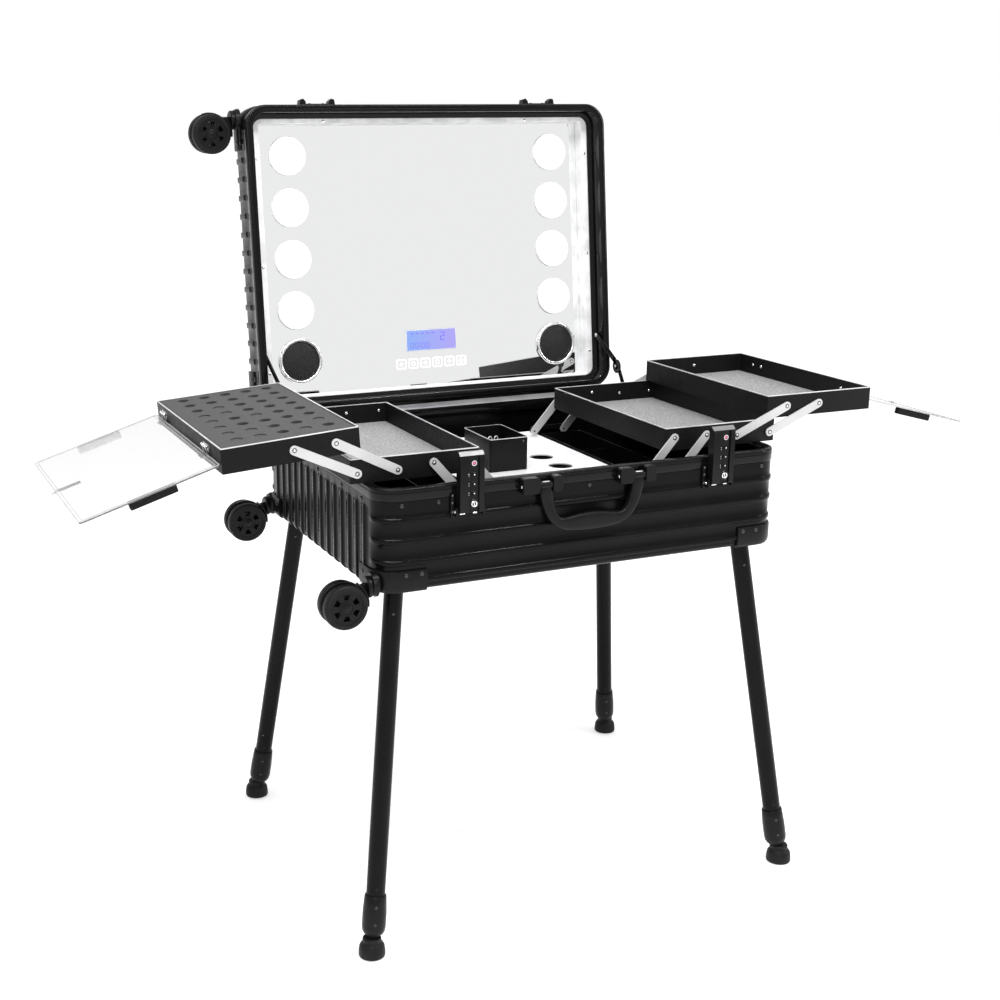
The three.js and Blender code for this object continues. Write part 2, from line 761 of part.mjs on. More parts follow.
function legFoot(leg) {
  const [x, y] = leg.at(leg.length);
  const profile = [
    [0, 0],
    [FOOT_RADIUS - 1, 0],
    [FOOT_RADIUS, 2],
    [FOOT_RADIUS - 1.4, 16],
    [FOOT_RADIUS - 5, 20],
    [FOOT_RADIUS - 5.6, 26],
    [0, 26],
  ];
  const points = profile.map(([radius, z]) => new THREE.Vector2(radius, z));
  const cup = new THREE.LatheGeometry(points, 16);
  cup.rotateX(Math.PI / 2);
  const tip = leg.at(leg.length - 14);
  cup.translate(x, y, 0);
  return join([solid(cup), rod(leg.at(300), tip, INNER_LEG_RADIUS)]);
}

for (const corner of CORNERS) {
  const leg = legLine(corner.x, corner.y);
  addMesh(root, `leg_tube_${corner.name}`, legTube(leg), "tube");
  addMesh(root, `leg_ferrule_${corner.name}`, legFerrule(leg), "blackPlastic");
  addMesh(root, `leg_foot_${corner.name}`, legFoot(leg), "rubber");
}

// ---- Casters -------------------------------------------------------------------------------------
// In the frame of the swivel, whose axis is X at y = z = 0, with the case wall at x = 0.
const FORK_START = 6.4;

function casterFork() {
  const axle = [-CASTER_OUT, -CASTER_TRAIL];
  const web = 3;
  const collar = rod([-FORK_START, 0, 0], [-FORK_START - 6, 0, 0], 14.5);
  const arm = uprightSlab(barShape([-FORK_START - 8, -2], axle, 15), -web, web, 2);
  const guardOuter = WHEEL_RADIUS + 4.5;
  const guardInner = WHEEL_RADIUS + 1.5;
  const start = THREE.MathUtils.degToRad(-8);
  const stop = THREE.MathUtils.degToRad(112);
  const guard = new THREE.Shape();
  guard.absarc(axle[0], axle[1], guardOuter, start, stop, false);
  guard.absarc(axle[0], axle[1], guardInner, stop, start, true);
  guard.closePath();
  const half = WHEEL_CENTRE_GAP + WHEEL_WIDTH;
  const body = join([collar, arm, uprightSlab(guard, -half, half, 6)]);
  return cut(body, [rod([axle[0], -web - 5, axle[1]], [axle[0], web + 5, axle[1]], 3.5, 8)]);
}

function casterWheels() {
  const near = WHEEL_CENTRE_GAP;
  const far = near + WHEEL_WIDTH;
  return join([
    rod([0, near, 0], [0, far, 0], WHEEL_RADIUS, 20),
    rod([0, -far, 0], [0, -near, 0], WHEEL_RADIUS, 20),
    rod([0, -far, 0], [0, far, 0], 3, 8),
  ]);
}

function addCaster(parent, name, y, z, turn) {
  const swivel = addGroup(parent, -SHELL_WIDTH / 2, y, z);
  swivel.rotation.x = turn;
  addMesh(swivel, `caster_fork_${name}`, casterFork(), "blackPlastic");
  const wheels = addMesh(swivel, `caster_wheels_${name}`, casterWheels(), "rubber");
  wheels.position.set(-CASTER_OUT, 0, -CASTER_TRAIL);
}

addCaster(root, "base_front", -CASTER_Y, CASTER_Z, 0);
addCaster(root, "base_rear", CASTER_Y, CASTER_Z, 0);

// ---- Lid -----------------------------------------------------------------------------------------
// The lid's own frame: Y is depth behind its rim plane, Z is height above the hinge axis.
const lid = addGroup(root, 0, HINGE_Y, BASE_TOP_Z);
lid.rotation.x = -LID_LEAN;
const LID_MIDDLE = HINGE_OUT + CASE_DEPTH / 2;
const RIM_CLEAR = 0.4;
// The frame and the mirror sit a little below the middle of the lid.
const MIRROR_MIDDLE = LID_MIDDLE - 2.5;

// Turns a solid made like the base, open upwards, into the lid's frame, open to the front.
function intoLid(body, depth) {
  return body.rotate([90, 0, 0]).translate([0, depth, LID_MIDDLE]);
}

function lidShell() {
  const low = RIM_HEIGHT + RIM_CLEAR + GAP;
  const shell = intoLid(shellBody(0, LID_THICKNESS - low), LID_THICKNESS);
  const top = HINGE_OUT + CASE_DEPTH - SHELL_INSET;
  const strikers = LOCK_X.flatMap((x) => [
    block([x - 30, x + 30], [32, 41], [top - 2, top + 5]),
    block([x - 30, x - 24], [32, 41], [top, top + 12]),
    block([x + 24, x + 30], [32, 41], [top, top + 12]),
  ]);
  const bosses = [18, 450].map((height) => {
    const z = HINGE_OUT + height;
    return rod([-SHELL_WIDTH / 2 + 2, 49, z], [-SHELL_WIDTH / 2 - 6, 49, z], 16);
  });
  const inlet = block([SHELL_WIDTH / 2 - 10, SHELL_WIDTH / 2 + 10], [34, 58], [118, 146]);
  return cut(join([shell, ...strikers, ...bosses]), [inlet]);
}

function lidRim() {
  const inner = SHELL_INSET + SHELL_WALL + 2;
  const ledge = 18.5;
  const rings = join([
    ring(0, RIM_FACE, 0, RIM_HEIGHT),
    ring(inner, RIM_FACE, RIM_HEIGHT - 1, FRAME_FRONT - 4),
    ring(inner, ledge, FRAME_FRONT - 4.5, FRAME_FRONT - 1),
  ]);
  const flipped = rings.rotate([-90, 0, 0]).translate([0, RIM_CLEAR, LID_MIDDLE]);
  const knuckles = LID_KNUCKLES.flatMap(([left, right]) => [
    rod([left, 0, 0], [right, 0, 0], HINGE_RADIUS),
    block([left, right], [1.5, 5], [0, HINGE_OUT + 2]),
  ]);
  return join([flipped, ...knuckles]);
}

function mirrorFrame() {
  const outer = SHELL_INSET + SHELL_WALL + 2;
  const [width, height] = FRAME_OPENING;
  const plate = roundedRectangle(CASE_WIDTH - 2 * outer, CASE_DEPTH - 2 * outer, 26);
  const flange = slab(plate, 0, 2.5);
  const sleeve = roundedRectangle(width + 6, height + 6, 5);
  const tube = slab(sleeve, 0, MIRROR_DEPTH - FRAME_FRONT - GAP);
  const opening = slab(roundedRectangle(width, height, 2), -1, LID_THICKNESS);
  const down = LID_MIDDLE - MIRROR_MIDDLE;
  const body = cut(join([flange.translate([0, -down, 0]), tube]), [opening]);
  return body.rotate([-90, 0, 0]).translate([0, FRAME_FRONT, MIRROR_MIDDLE]);
}

function mirrorGlass() {
  const back = MIRROR_DEPTH + MIRROR_THICKNESS;
  const glass = uprightSlab(roundedRectangle(586, 436, 12), MIRROR_DEPTH, back);
  const lampHoles = [-1, 1].flatMap((side) =>
    LAMP_HEIGHTS.map((u) =>
      rod([side * LAMP_X, 40, HINGE_OUT + u], [side * LAMP_X, 60, HINGE_OUT + u], 20.6, 10),
    ),
  );
  const speakerHoles = SPEAKER_X.map((x) =>
    rod([x, 40, HINGE_OUT + SPEAKER_HEIGHT], [x, 60, HINGE_OUT + SPEAKER_HEIGHT], 31, 16),
  );
  const window = block(
    [DISPLAY.left - GAP, DISPLAY.right + GAP],
    [40, 60],
    [HINGE_OUT + DISPLAY.low - GAP, HINGE_OUT + DISPLAY.high + GAP],
  );
  return cut(glass.translate([0, 0, MIRROR_MIDDLE]), [...lampHoles, ...speakerHoles, window]);
}

const BOARD_FRONT = MIRROR_DEPTH + MIRROR_THICKNESS + GAP;
const BOARD_BACK = LID_THICKNESS - SHELL_WALL - GAP;

// The lamp, as a shallow frosted dome on a neck, in the lid's frame.
function lamp(x, height) {
  const steps = 3;
  const face = MIRROR_DEPTH - GAP;
  const points = [new THREE.Vector2(0, 0), new THREE.Vector2(LAMP_RADIUS, 0)];
  for (let i = 1; i <= steps; i += 1) {
    const angle = (i / steps) * (Math.PI / 2);
    const out = i === steps ? 0 : LAMP_RADIUS * Math.cos(angle);
    points.push(new THREE.Vector2(out, 3 + (LAMP_RISE - 3) * Math.sin(angle)));
  }
  const dome = new THREE.LatheGeometry(points, 14);
  dome.rotateX(Math.PI);
  dome.translate(x, face, height);
  return join([solid(dome), rod([x, face - 1, height], [x, BOARD_FRONT + 1, height], 19.4, 10)]);
}

function lampBoard() {
  const side = (sign) =>
    block(
      [sign * LAMP_X - 36, sign * LAMP_X + 36],
      [BOARD_FRONT, BOARD_BACK],
      [HINGE_OUT + 120, HINGE_OUT + 428],
    );
  const bridge = block(
    [-LAMP_X, LAMP_X],
    [BOARD_FRONT, BOARD_BACK],
    [HINGE_OUT + 372, HINGE_OUT + 420],
  );
  const lamps = [-1, 1].flatMap((sign) =>
    LAMP_HEIGHTS.map((height) => lamp(sign * LAMP_X, HINGE_OUT + height)),
  );
  return join([side(-1), side(1), bridge, ...lamps]);
}

function speaker(x) {
  const z = HINGE_OUT + SPEAKER_HEIGHT;
  const face = MIRROR_DEPTH - GAP;
  const flange = rod([x, face - 5, z], [x, face, z], SPEAKER_RADIUS, 20);
  const basket = rod([x, face - 1, z], [x, BOARD_BACK, z], 30, 16);
  const dish = rod([x, face - 8, z], [x, face - 2.5, z], SPEAKER_RADIUS - 4, 20);
  return cut(join([flange, basket]), [dish]);
}

function controlPanel() {
  const { left, right, low, high } = DISPLAY;
  return join([
    block([left - 24, right + 24], [BOARD_FRONT, BOARD_BACK], [HINGE_OUT + 44, HINGE_OUT + 118]),
    block(
      [left, right],
      [MIRROR_DEPTH - 0.2, BOARD_FRONT + 1],
      [HINGE_OUT + low, HINGE_OUT + high],
    ),
  ]);
}

function powerInlet() {
  const end = SHELL_WIDTH / 2;
  const plate = block([end + GAP, end + 2.2], [32, 60], [114, 150]);
  const well = block([end - 9, end + 1], [34 + GAP, 58 - GAP], [118 + GAP, 146 - GAP]);
  const socket = block([end - 5, end + 5], [39, 53], [124, 140]);
  return cut(join([plate, well]), [socket]);
}

addMesh(lid, "lid_shell", lidShell(), "shell");
addMesh(lid, "lid_rim", lidRim(), "rim");
addMesh(lid, "mirror_frame", mirrorFrame(), "white");
addMesh(lid, "mirror", mirrorGlass(), "mirror");
addMesh(lid, "lamp_board", lampBoard(), "lamp");
addMesh(lid, "speaker_left", speaker(SPEAKER_X[0]), "speaker");
addMesh(lid, "speaker_right", speaker(SPEAKER_X[1]), "speaker");
addMesh(lid, "control_panel", controlPanel(), "panel");
addMesh(lid, "power_inlet", powerInlet(), "blackPlastic");
addCaster(lid, "lid_front", 49, HINGE_OUT + 450, LID_LEAN);
addCaster(lid, "lid_rear", 49, HINGE_OUT + 18, LID_LEAN);

// ---- Lid stays -----------------------------------------------------------------------------------
const STAY = { lidHeight: 86, lidDepth: 18, elbow: [201, 689.5], base: [160, 628] };
const STAY_X = { upper: [293.4, 295.8], lower: [296.1, 298.1] };

function stayTop() {
  const z = STAY.lidHeight + HINGE_OUT;
  const y = STAY.lidDepth;
  const [sin, cos] = [Math.sin(LID_LEAN), Math.cos(LID_LEAN)];
  return [HINGE_Y + y * cos + z * sin, BASE_TOP_Z - y * sin + z * cos];
}

for (const [sideName, side] of Object.entries(SIDES)) {
  const span = (x) => [side * x[0], side * x[1]].sort((a, b) => a - b);
  const top = stayTop();
  const knee = [top[0] - 62, top[1] - 33];
  const upper = join([
    sideSlab(barShape(top, knee, 9), ...span(STAY_X.upper)),
    sideSlab(barShape(knee, STAY.elbow, 9), ...span(STAY_X.upper)),
    sideSlab(discShape(STAY.elbow, 11.5), ...span(STAY_X.upper)),
  ]);
  const lower = sideSlab(barShape(STAY.base, STAY.elbow, 9), ...span(STAY_X.lower));
  addMesh(root, `stay_upper_${sideName}`, upper, "blackPlastic");
  addMesh(root, `stay_lower_${sideName}`, lower, "blackPlastic");
}

// ---- Place the object over its origin ------------------------------------------------------------
const bounds = new THREE.Box3().setFromObject(root, true);
const middle = bounds.getCenter(new THREE.Vector3());
root.position.set(-middle.x, -middle.y, -bounds.min.z);

export default root;
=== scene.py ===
"""The looks of the makeup train case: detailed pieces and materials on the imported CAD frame."""
from itertools import product
from math import atan2, cos, pi, radians, sin, sqrt

import bmesh
import bpy
from mathutils import Matrix, Vector
from mathutils.geometry import tessellate_polygon


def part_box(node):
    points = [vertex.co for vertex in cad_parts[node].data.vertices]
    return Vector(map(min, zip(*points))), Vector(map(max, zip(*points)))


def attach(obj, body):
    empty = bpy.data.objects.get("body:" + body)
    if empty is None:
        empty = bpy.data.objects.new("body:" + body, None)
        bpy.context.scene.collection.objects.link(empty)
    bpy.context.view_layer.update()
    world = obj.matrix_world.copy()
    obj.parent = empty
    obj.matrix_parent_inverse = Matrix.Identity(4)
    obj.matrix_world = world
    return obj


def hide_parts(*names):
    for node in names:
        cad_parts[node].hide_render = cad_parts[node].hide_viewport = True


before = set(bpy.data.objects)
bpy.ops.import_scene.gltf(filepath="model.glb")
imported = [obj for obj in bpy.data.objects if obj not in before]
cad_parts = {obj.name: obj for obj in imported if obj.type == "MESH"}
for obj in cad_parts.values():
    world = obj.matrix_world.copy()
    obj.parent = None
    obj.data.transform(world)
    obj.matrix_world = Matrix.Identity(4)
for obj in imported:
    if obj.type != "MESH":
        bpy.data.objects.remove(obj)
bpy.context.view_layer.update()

# ---- Frames, in millimetres ----------------------------------------------------------------------
# The case's own frame: x = 0 and y = 0 in the middle of the case, z = 0 on the floor.
MM = 0.001
CASE_WIDTH, CASE_DEPTH, CORNER = 620, 468, 34
HALF_WIDTH, HALF_DEPTH = CASE_WIDTH / 2, CASE_DEPTH / 2
BASE_BOTTOM, BASE_TOP, RIM_LOW = 501.3, 641, 623.8
INSIDE_FLOOR, ABOVE_FLOOR = 505.3, 505.6
HINGE_Y, LID_LEAN, LID_THICKNESS, LID_MIDDLE, HINGE_OUT = 242, 6.79, 66, 242, 8

rim_low, rim_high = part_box("base_rim")
case_middle = ((rim_low[0] + rim_high[0]) / 2, rim_low[1] + HALF_DEPTH * MM, 0)
CASE = Matrix.Translation(case_middle) @ Matrix.Scale(MM, 4)


def turned(degrees, axis):
    return Matrix.Rotation(radians(degrees), 4, axis)


def moved(x, y, z):
    return Matrix.Translation((x, y, z))


LEFT, FRONT, DOWN = (-1, 0, 0), (0, -1, 0), (0, 0, -1)
RIGHT, REAR, UP = (1, 0, 0), (0, 1, 0), (0, 0, 1)

# The lid's frame: Y is depth behind its rim, Z is height above the hinge. LID_BACK has its Z from
# the lid's back plate towards the rim, as the base's shell stands on its floor.
LID = CASE @ moved(0, HINGE_Y, BASE_TOP) @ turned(-LID_LEAN, "X")
LID_BACK = LID @ moved(0, LID_THICKNESS, LID_MIDDLE) @ turned(90, "X")

TRAY_WIDTH, TRAY_HEIGHT, TRAY_FRONT, TRAY_REAR = 185, 33, -187.1, 142
TRAY_MIDDLE = (TRAY_FRONT + TRAY_REAR) / 2
LOWER_INNER, LOWER_FLOOR, UPPER_INNER, UPPER_FLOOR = 144.8, 641.5, 315, 674.9
LOWER_LINKS = [((111.4, 606), (159.1, 660)), ((164.7, 606), (212.4, 660))]
UPPER_LINKS = [((264, 655), (348.5, 691)), ((320.5, 655), (405, 691))]
LEFT_TILT = 4.2
LEFT_UPPER_PIVOT = (348.8, 698.1)
UPPER_PIVOT_LOCAL = (348.5 - UPPER_INNER, 691 - UPPER_FLOOR)
PIVOT_PITCH = 56.5
LINK_FRONT, LINK_BACK = (-189.5, -187.5), (142.4, 144.4)
COVER_OUT, COVER_ABOVE, COVER_DROP, COVER_LENGTH = 2.6, 24.1, 10.5, 186
COVER_ANGLES = {"left": 17.4, "right": 15}
COVER_HINGES = (-120, 96)
SIDES = {"left": -1, "right": 1}
LOCKS = {"left": -184, "right": 202}
TROLLEY_ROD, CASTER_SIDE, LID_CASTER_DEPTH, LID_CASTERS = 105, 216, 49, (26, 458)


def tray_frame(side, level):
    if level == "lower":
        return CASE @ moved(side * LOWER_INNER, 0, LOWER_FLOOR)
    pivot, tilt = (UPPER_LINKS[0][1], 0) if side > 0 else (LEFT_UPPER_PIVOT, LEFT_TILT)
    local = UPPER_PIVOT_LOCAL
    return (
        CASE
        @ moved(side * pivot[0], 0, pivot[1])
        @ turned(side * tilt, "Y")
        @ moved(-side * local[0], 0, -local[1])
    )


def cover_frame(name, side):
    tilt = 0 if side > 0 else LEFT_TILT
    drop = COVER_ANGLES[name] - tilt
    place = moved(side * (TRAY_WIDTH + COVER_OUT), 0, COVER_ABOVE) @ turned(side * drop, "Y")
    return tray_frame(side, "upper") @ place


# ---- Camera --------------------------------------------------------------------------------------
def add_camera():
    camera = bpy.data.objects.new("camera", bpy.data.cameras.new("camera"))
    bpy.context.collection.objects.link(camera)
    camera.location = CASE @ Vector((-983.9, -1924.0, 1124.8))
    yaw, pitch = radians(22.95), radians(15.1)
    forward = Vector((
        sin(yaw) * cos(pitch),
        cos(yaw) * cos(pitch),
        -sin(pitch),
    ))
    camera.rotation_euler = forward.to_track_quat("-Z", "Y").to_euler()
    camera.data.lens = 53.45
    camera.data.sensor_width = 36
    camera.data.shift_x = 0.0917
    camera.data.shift_y = -0.00265
    camera.data.clip_end = 50
    bpy.context.scene.camera = camera


add_camera()


# ---- Materials -----------------------------------------------------------------------------------
def noise(scale, detail, stretch=(1, 1, 1)):
    """A cloudy pattern, drawn out along the axes where its stretch is small."""
    return "ShaderNodeTexNoise", {"Scale": scale, "Detail": detail}, stretch, "Fac"


def cells(scale):
    return "ShaderNodeTexVoronoi", {"Scale": scale}, (1, 1, 1), "Distance"


class Finish:
    """A Principled material fed by procedural patterns in the object's own metres."""

    def __init__(self, name, color, roughness, metallic=0.0, **sockets):
        self.material = bpy.data.materials.new(name)
        self.material.use_nodes = True
        self.nodes = self.material.node_tree.nodes
        self.links = self.material.node_tree.links
        self.shader = self.nodes["Principled BSDF"]
        self.color = color
        self.roughness = roughness
        self.shader.inputs["Base Color"].default_value = (*color, 1)
        self.shader.inputs["Roughness"].default_value = roughness
        self.shader.inputs["Metallic"].default_value = metallic
        for socket, value in sockets.items():
            self.shader.inputs[socket.replace("_", " ")].default_value = value
        self.coordinates = self.nodes.new("ShaderNodeTexCoord")
        self.height = None

    def pattern(self, kind, values, stretch, output):
        node = self.nodes.new(kind)
        for socket, value in values.items():
            node.inputs[socket].default_value = value
        mapping = self.nodes.new("ShaderNodeMapping")
        mapping.inputs["Scale"].default_value = stretch
        self.links.new(self.coordinates.outputs["Object"], mapping.inputs["Vector"])
        self.links.new(mapping.outputs["Vector"], node.inputs["Vector"])
        return node.outputs[output]

    def ramp(self, value, low, high, start, end):
        node = self.nodes.new("ShaderNodeValToRGB")
        for element, position, color in zip(node.color_ramp.elements, (start, end), (low, high)):
            element.position = position
            element.color = (*color, 1)
        self.links.new(value, node.inputs["Fac"])
        return node.outputs["Color"]

    def vary_color(self, pattern, amount, start=0.35, end=0.65):
        low = tuple(c * (1 - amount) for c in self.color)
        high = tuple(min(1, c * (1 + amount)) for c in self.color)
        tint = self.ramp(self.pattern(*pattern), low, high, start, end)
        self.links.new(tint, self.shader.inputs["Base Color"])

    def vary_roughness(self, pattern, amount, start=0.3, end=0.7):
        low, high = self.roughness - amount, self.roughness + amount
        grey = self.ramp(self.pattern(*pattern), (low,) * 3, (high,) * 3, start, end)
        self.links.new(grey, self.shader.inputs["Roughness"])

    def bump(self, pattern, strength, distance):
        height = self.pattern(*pattern)
        node = self.nodes.new("ShaderNodeBump")
        node.inputs["Strength"].default_value = strength
        node.inputs["Distance"].default_value = distance
        self.links.new(height, node.inputs["Height"])
        if self.height:
            self.links.new(self.height, node.inputs["Normal"])
        self.height = node.outputs["Normal"]
        self.links.new(self.height, self.shader.inputs["Normal"])


def finish(name, color, roughness, metallic=0.0, tint=None, wear=None, bumps=(), **sockets):
    """A finish whose colour, roughness and surface each follow a pattern."""
    made = Finish(name, color, roughness, metallic, **sockets)
    if tint:
        made.vary_color(*tint)
    if wear:
        made.vary_roughness(*wear)
    for bump in bumps:
        made.bump(*bump)
    return made


def grey(value):
    return (value, value, value * 1.01)


def anodised(name, color, roughness, metallic=0.0, specular=0.5):
    return finish(
        name, color, roughness, metallic, Specular_IOR_Level=specular,
        tint=(noise(30, 4), 0.15), wear=(noise(220, 4, (0.03, 1, 1)), 0.06),
        bumps=[(noise(900, 3, (0.04, 1, 1)), 0.08, 0.0003)],
    )


def moulded(name, color, roughness, specular=0.5):
    return finish(
        name, color, roughness, Specular_IOR_Level=specular,
        tint=(noise(40, 3), 0.15), wear=(noise(120, 4), 0.04),
        bumps=[(cells(1600), 0.05, 0.0002)],
    )


def leather(name, color, roughness, strength, specular=0.16):
    return finish(
        name, color, roughness, Specular_IOR_Level=specular,
        tint=(cells(520), 0.28, 0.1, 0.75), wear=(noise(160, 4), 0.07),
        bumps=[(cells(520), strength, 0.0008), (noise(1400, 4), strength * 0.5, 0.0004)],
    )


def brushed(name, color, roughness, metallic, stretch):
    return finish(
        name, color, roughness, metallic,
        tint=(noise(25, 3), 0.05), wear=(noise(300, 4, stretch), 0.07),
        bumps=[(noise(1500, 2, stretch), 0.06, 0.0002)],
    )


def glow(name, color, strength, scale, amount):
    return finish(
        name, color, 0.35, tint=(noise(scale, 2), amount), bumps=[(noise(700, 2), 0.05, 0.0003)],
        Emission_Color=(*color, 1), Emission_Strength=strength,
    )


def lit_screen():
    """A backlit screen that fades from blue at one end to violet at the other."""
    screen = Finish("blue_display", (0.03, 0.04, 0.1), 0.3, Emission_Strength=0.8)
    split = screen.nodes.new("ShaderNodeSeparateXYZ")
    screen.links.new(screen.coordinates.outputs["Object"], split.inputs["Vector"])
    span = screen.nodes.new("ShaderNodeMapRange")
    span.inputs["From Min"].default_value = -0.045
    span.inputs["From Max"].default_value = 0.045
    screen.links.new(split.outputs["X"], span.inputs["Value"])
    colour = screen.ramp(span.outputs["Result"], (0.3, 0.46, 0.96), (0.46, 0.4, 0.96), 0.1, 0.9)
    screen.links.new(colour, screen.shader.inputs["Emission Color"])
    screen.vary_roughness(noise(60, 2), 0.05)
    screen.bump(noise(700, 2), 0.03, 0.0002)
    return screen


MADE = {
    "shell": finish(
        "satin_black_shell", grey(0.0025), 0.2, Specular_IOR_Level=0.1,
        tint=(noise(14, 4), 0.2), wear=(noise(60, 5), 0.05), bumps=[(cells(900), 0.08, 0.0004)],
    ),
    "rim": anodised("black_anodised_rim", grey(0.0035), 0.14, 0.0, 0.16),
    # Pale grey painted on thin top edges as a painted highlight, where light catches them.
    "edge": anodised("painted_highlight_edge", grey(0.66), 0.3, 0.3),
    # Pale satin grey: a real strip along the rear inner face of the rim, and painted sheen on the
    # lit top of each lock lever.
    "pale_strip_and_sheen": anodised("satin_strip_and_painted_sheen", grey(0.2), 0.3, 0.4),
    "plastic": moulded("moulded_black", grey(0.004), 0.32, 0.15),
    "leather": leather("black_leatherette", grey(0.0045), 0.42, 0.3, 0.12),
    "lining": finish(
        "grained_grey_lining", grey(0.23), 0.6, Specular_IOR_Level=0.3,
        tint=(cells(430), 0.55, 0.05, 0.7),
        bumps=[(cells(430), 0.6, 0.0012), (noise(1500, 3), 0.2, 0.0004)],
    ),
    "silver": brushed("satin_silver_sheet", grey(0.86), 0.35, 0.2, (1, 1, 1)),
    "link": brushed("pale_link_bar", grey(0.5), 0.34, 0.2, (0.05, 1, 0.05)),
    "chrome": brushed("polished_chrome", grey(0.85), 0.12, 1.0, (1, 1, 0.1)),
    "dark_metal": brushed("dark_rivet", grey(0.12), 0.3, 0.7, (1, 1, 1)),
    "black_metal": anodised("black_fastener", grey(0.01), 0.22, 0.0, 0.45),
    "white": moulded("white_frame", grey(0.76), 0.35),
    "mirror": finish(
        "silvered_glass", (0.965, 0.97, 0.97), 0.02, 1.0,
        wear=(noise(8, 3), 0.012), bumps=[(noise(3, 1), 0.02, 0.0006)],
    ),
    "lamp": glow("frosted_lamp", (1.0, 0.99, 0.97), 1.5, 40, 0.03),
    "display": lit_screen(),
    "digits": glow("violet_digits", (0.1, 0.06, 0.5), 0.7, 60, 0.05),
    "keys": glow("white_key_light", (1.0, 1.0, 1.0), 0.9, 60, 0.03),
    "grille": finish(
        "speaker_mesh", grey(0.012), 0.5, 0.4, Specular_IOR_Level=0.3,
        tint=(cells(750), 0.9, 0.2, 0.6), wear=(noise(200, 3), 0.08),
        bumps=[(cells(750), 0.7, 0.0008)],
    ),
    "foam": finish(
        "charcoal_foam", grey(0.058), 0.95, Sheen_Weight=0.12, Specular_IOR_Level=0.2,
        tint=(noise(1300, 2), 0.4),
        bumps=[(cells(1500), 0.55, 0.001), (noise(90, 3), 0.2, 0.001)],
    ),
    "pad": leather("soft_black_pad", grey(0.006), 0.8, 0.5),
    "pale_pad": leather("soft_pale_pad", grey(0.7), 0.8, 0.5),
    "acrylic": finish(
        "clear_acrylic", (0.8, 0.8, 0.8), 0.05, IOR=1.2, Transmission_Weight=0.93,
        wear=(noise(35, 3), 0.02), bumps=[(noise(9, 2), 0.04, 0.001)],
    ),
    # Opaque grey: real grey hinge leaves and catch plates, and painted shade along the clear
    # cover's edges.
    "grey_plate_and_edge_shade": finish(
        "grey_plate_and_painted_edge_shade", grey(0.42), 0.3, Specular_IOR_Level=0.3,
        tint=(noise(50, 3), 0.12), wear=(noise(90, 3), 0.08),
        bumps=[(noise(400, 2), 0.06, 0.0003)],
    ),
    "tube": anodised("black_coated_tube", grey(0.003), 0.3, 0.0, 0.1),
    "rubber": finish(
        "black_rubber", grey(0.007), 0.5, Specular_IOR_Level=0.15,
        tint=(noise(60, 3), 0.25), wear=(noise(90, 3), 0.08),
        bumps=[(noise(1200, 3), 0.2, 0.0004)],
    ),
    "red": moulded("red_button", (0.55, 0.12, 0.2), 0.3),
}


# ---- Solids --------------------------------------------------------------------------------------
def polar(centre, radius, angle):
    return (centre[0] + radius * cos(angle), centre[1] + radius * sin(angle))


def skin(rows, count):
    """The faces between rows of points, where each row closes on itself."""
    faces = []
    for row, i in product(range(rows - 1), range(count)):
        a, b = row * count + i, row * count + (i + 1) % count
        faces.append((a, b, b + count, a + count))
    return faces


def square_ring(inner, outer, low, high):
    """The profile of a plain ring, to be turned."""
    return [(inner, low), (outer, low), (outer, high), (inner, high)]


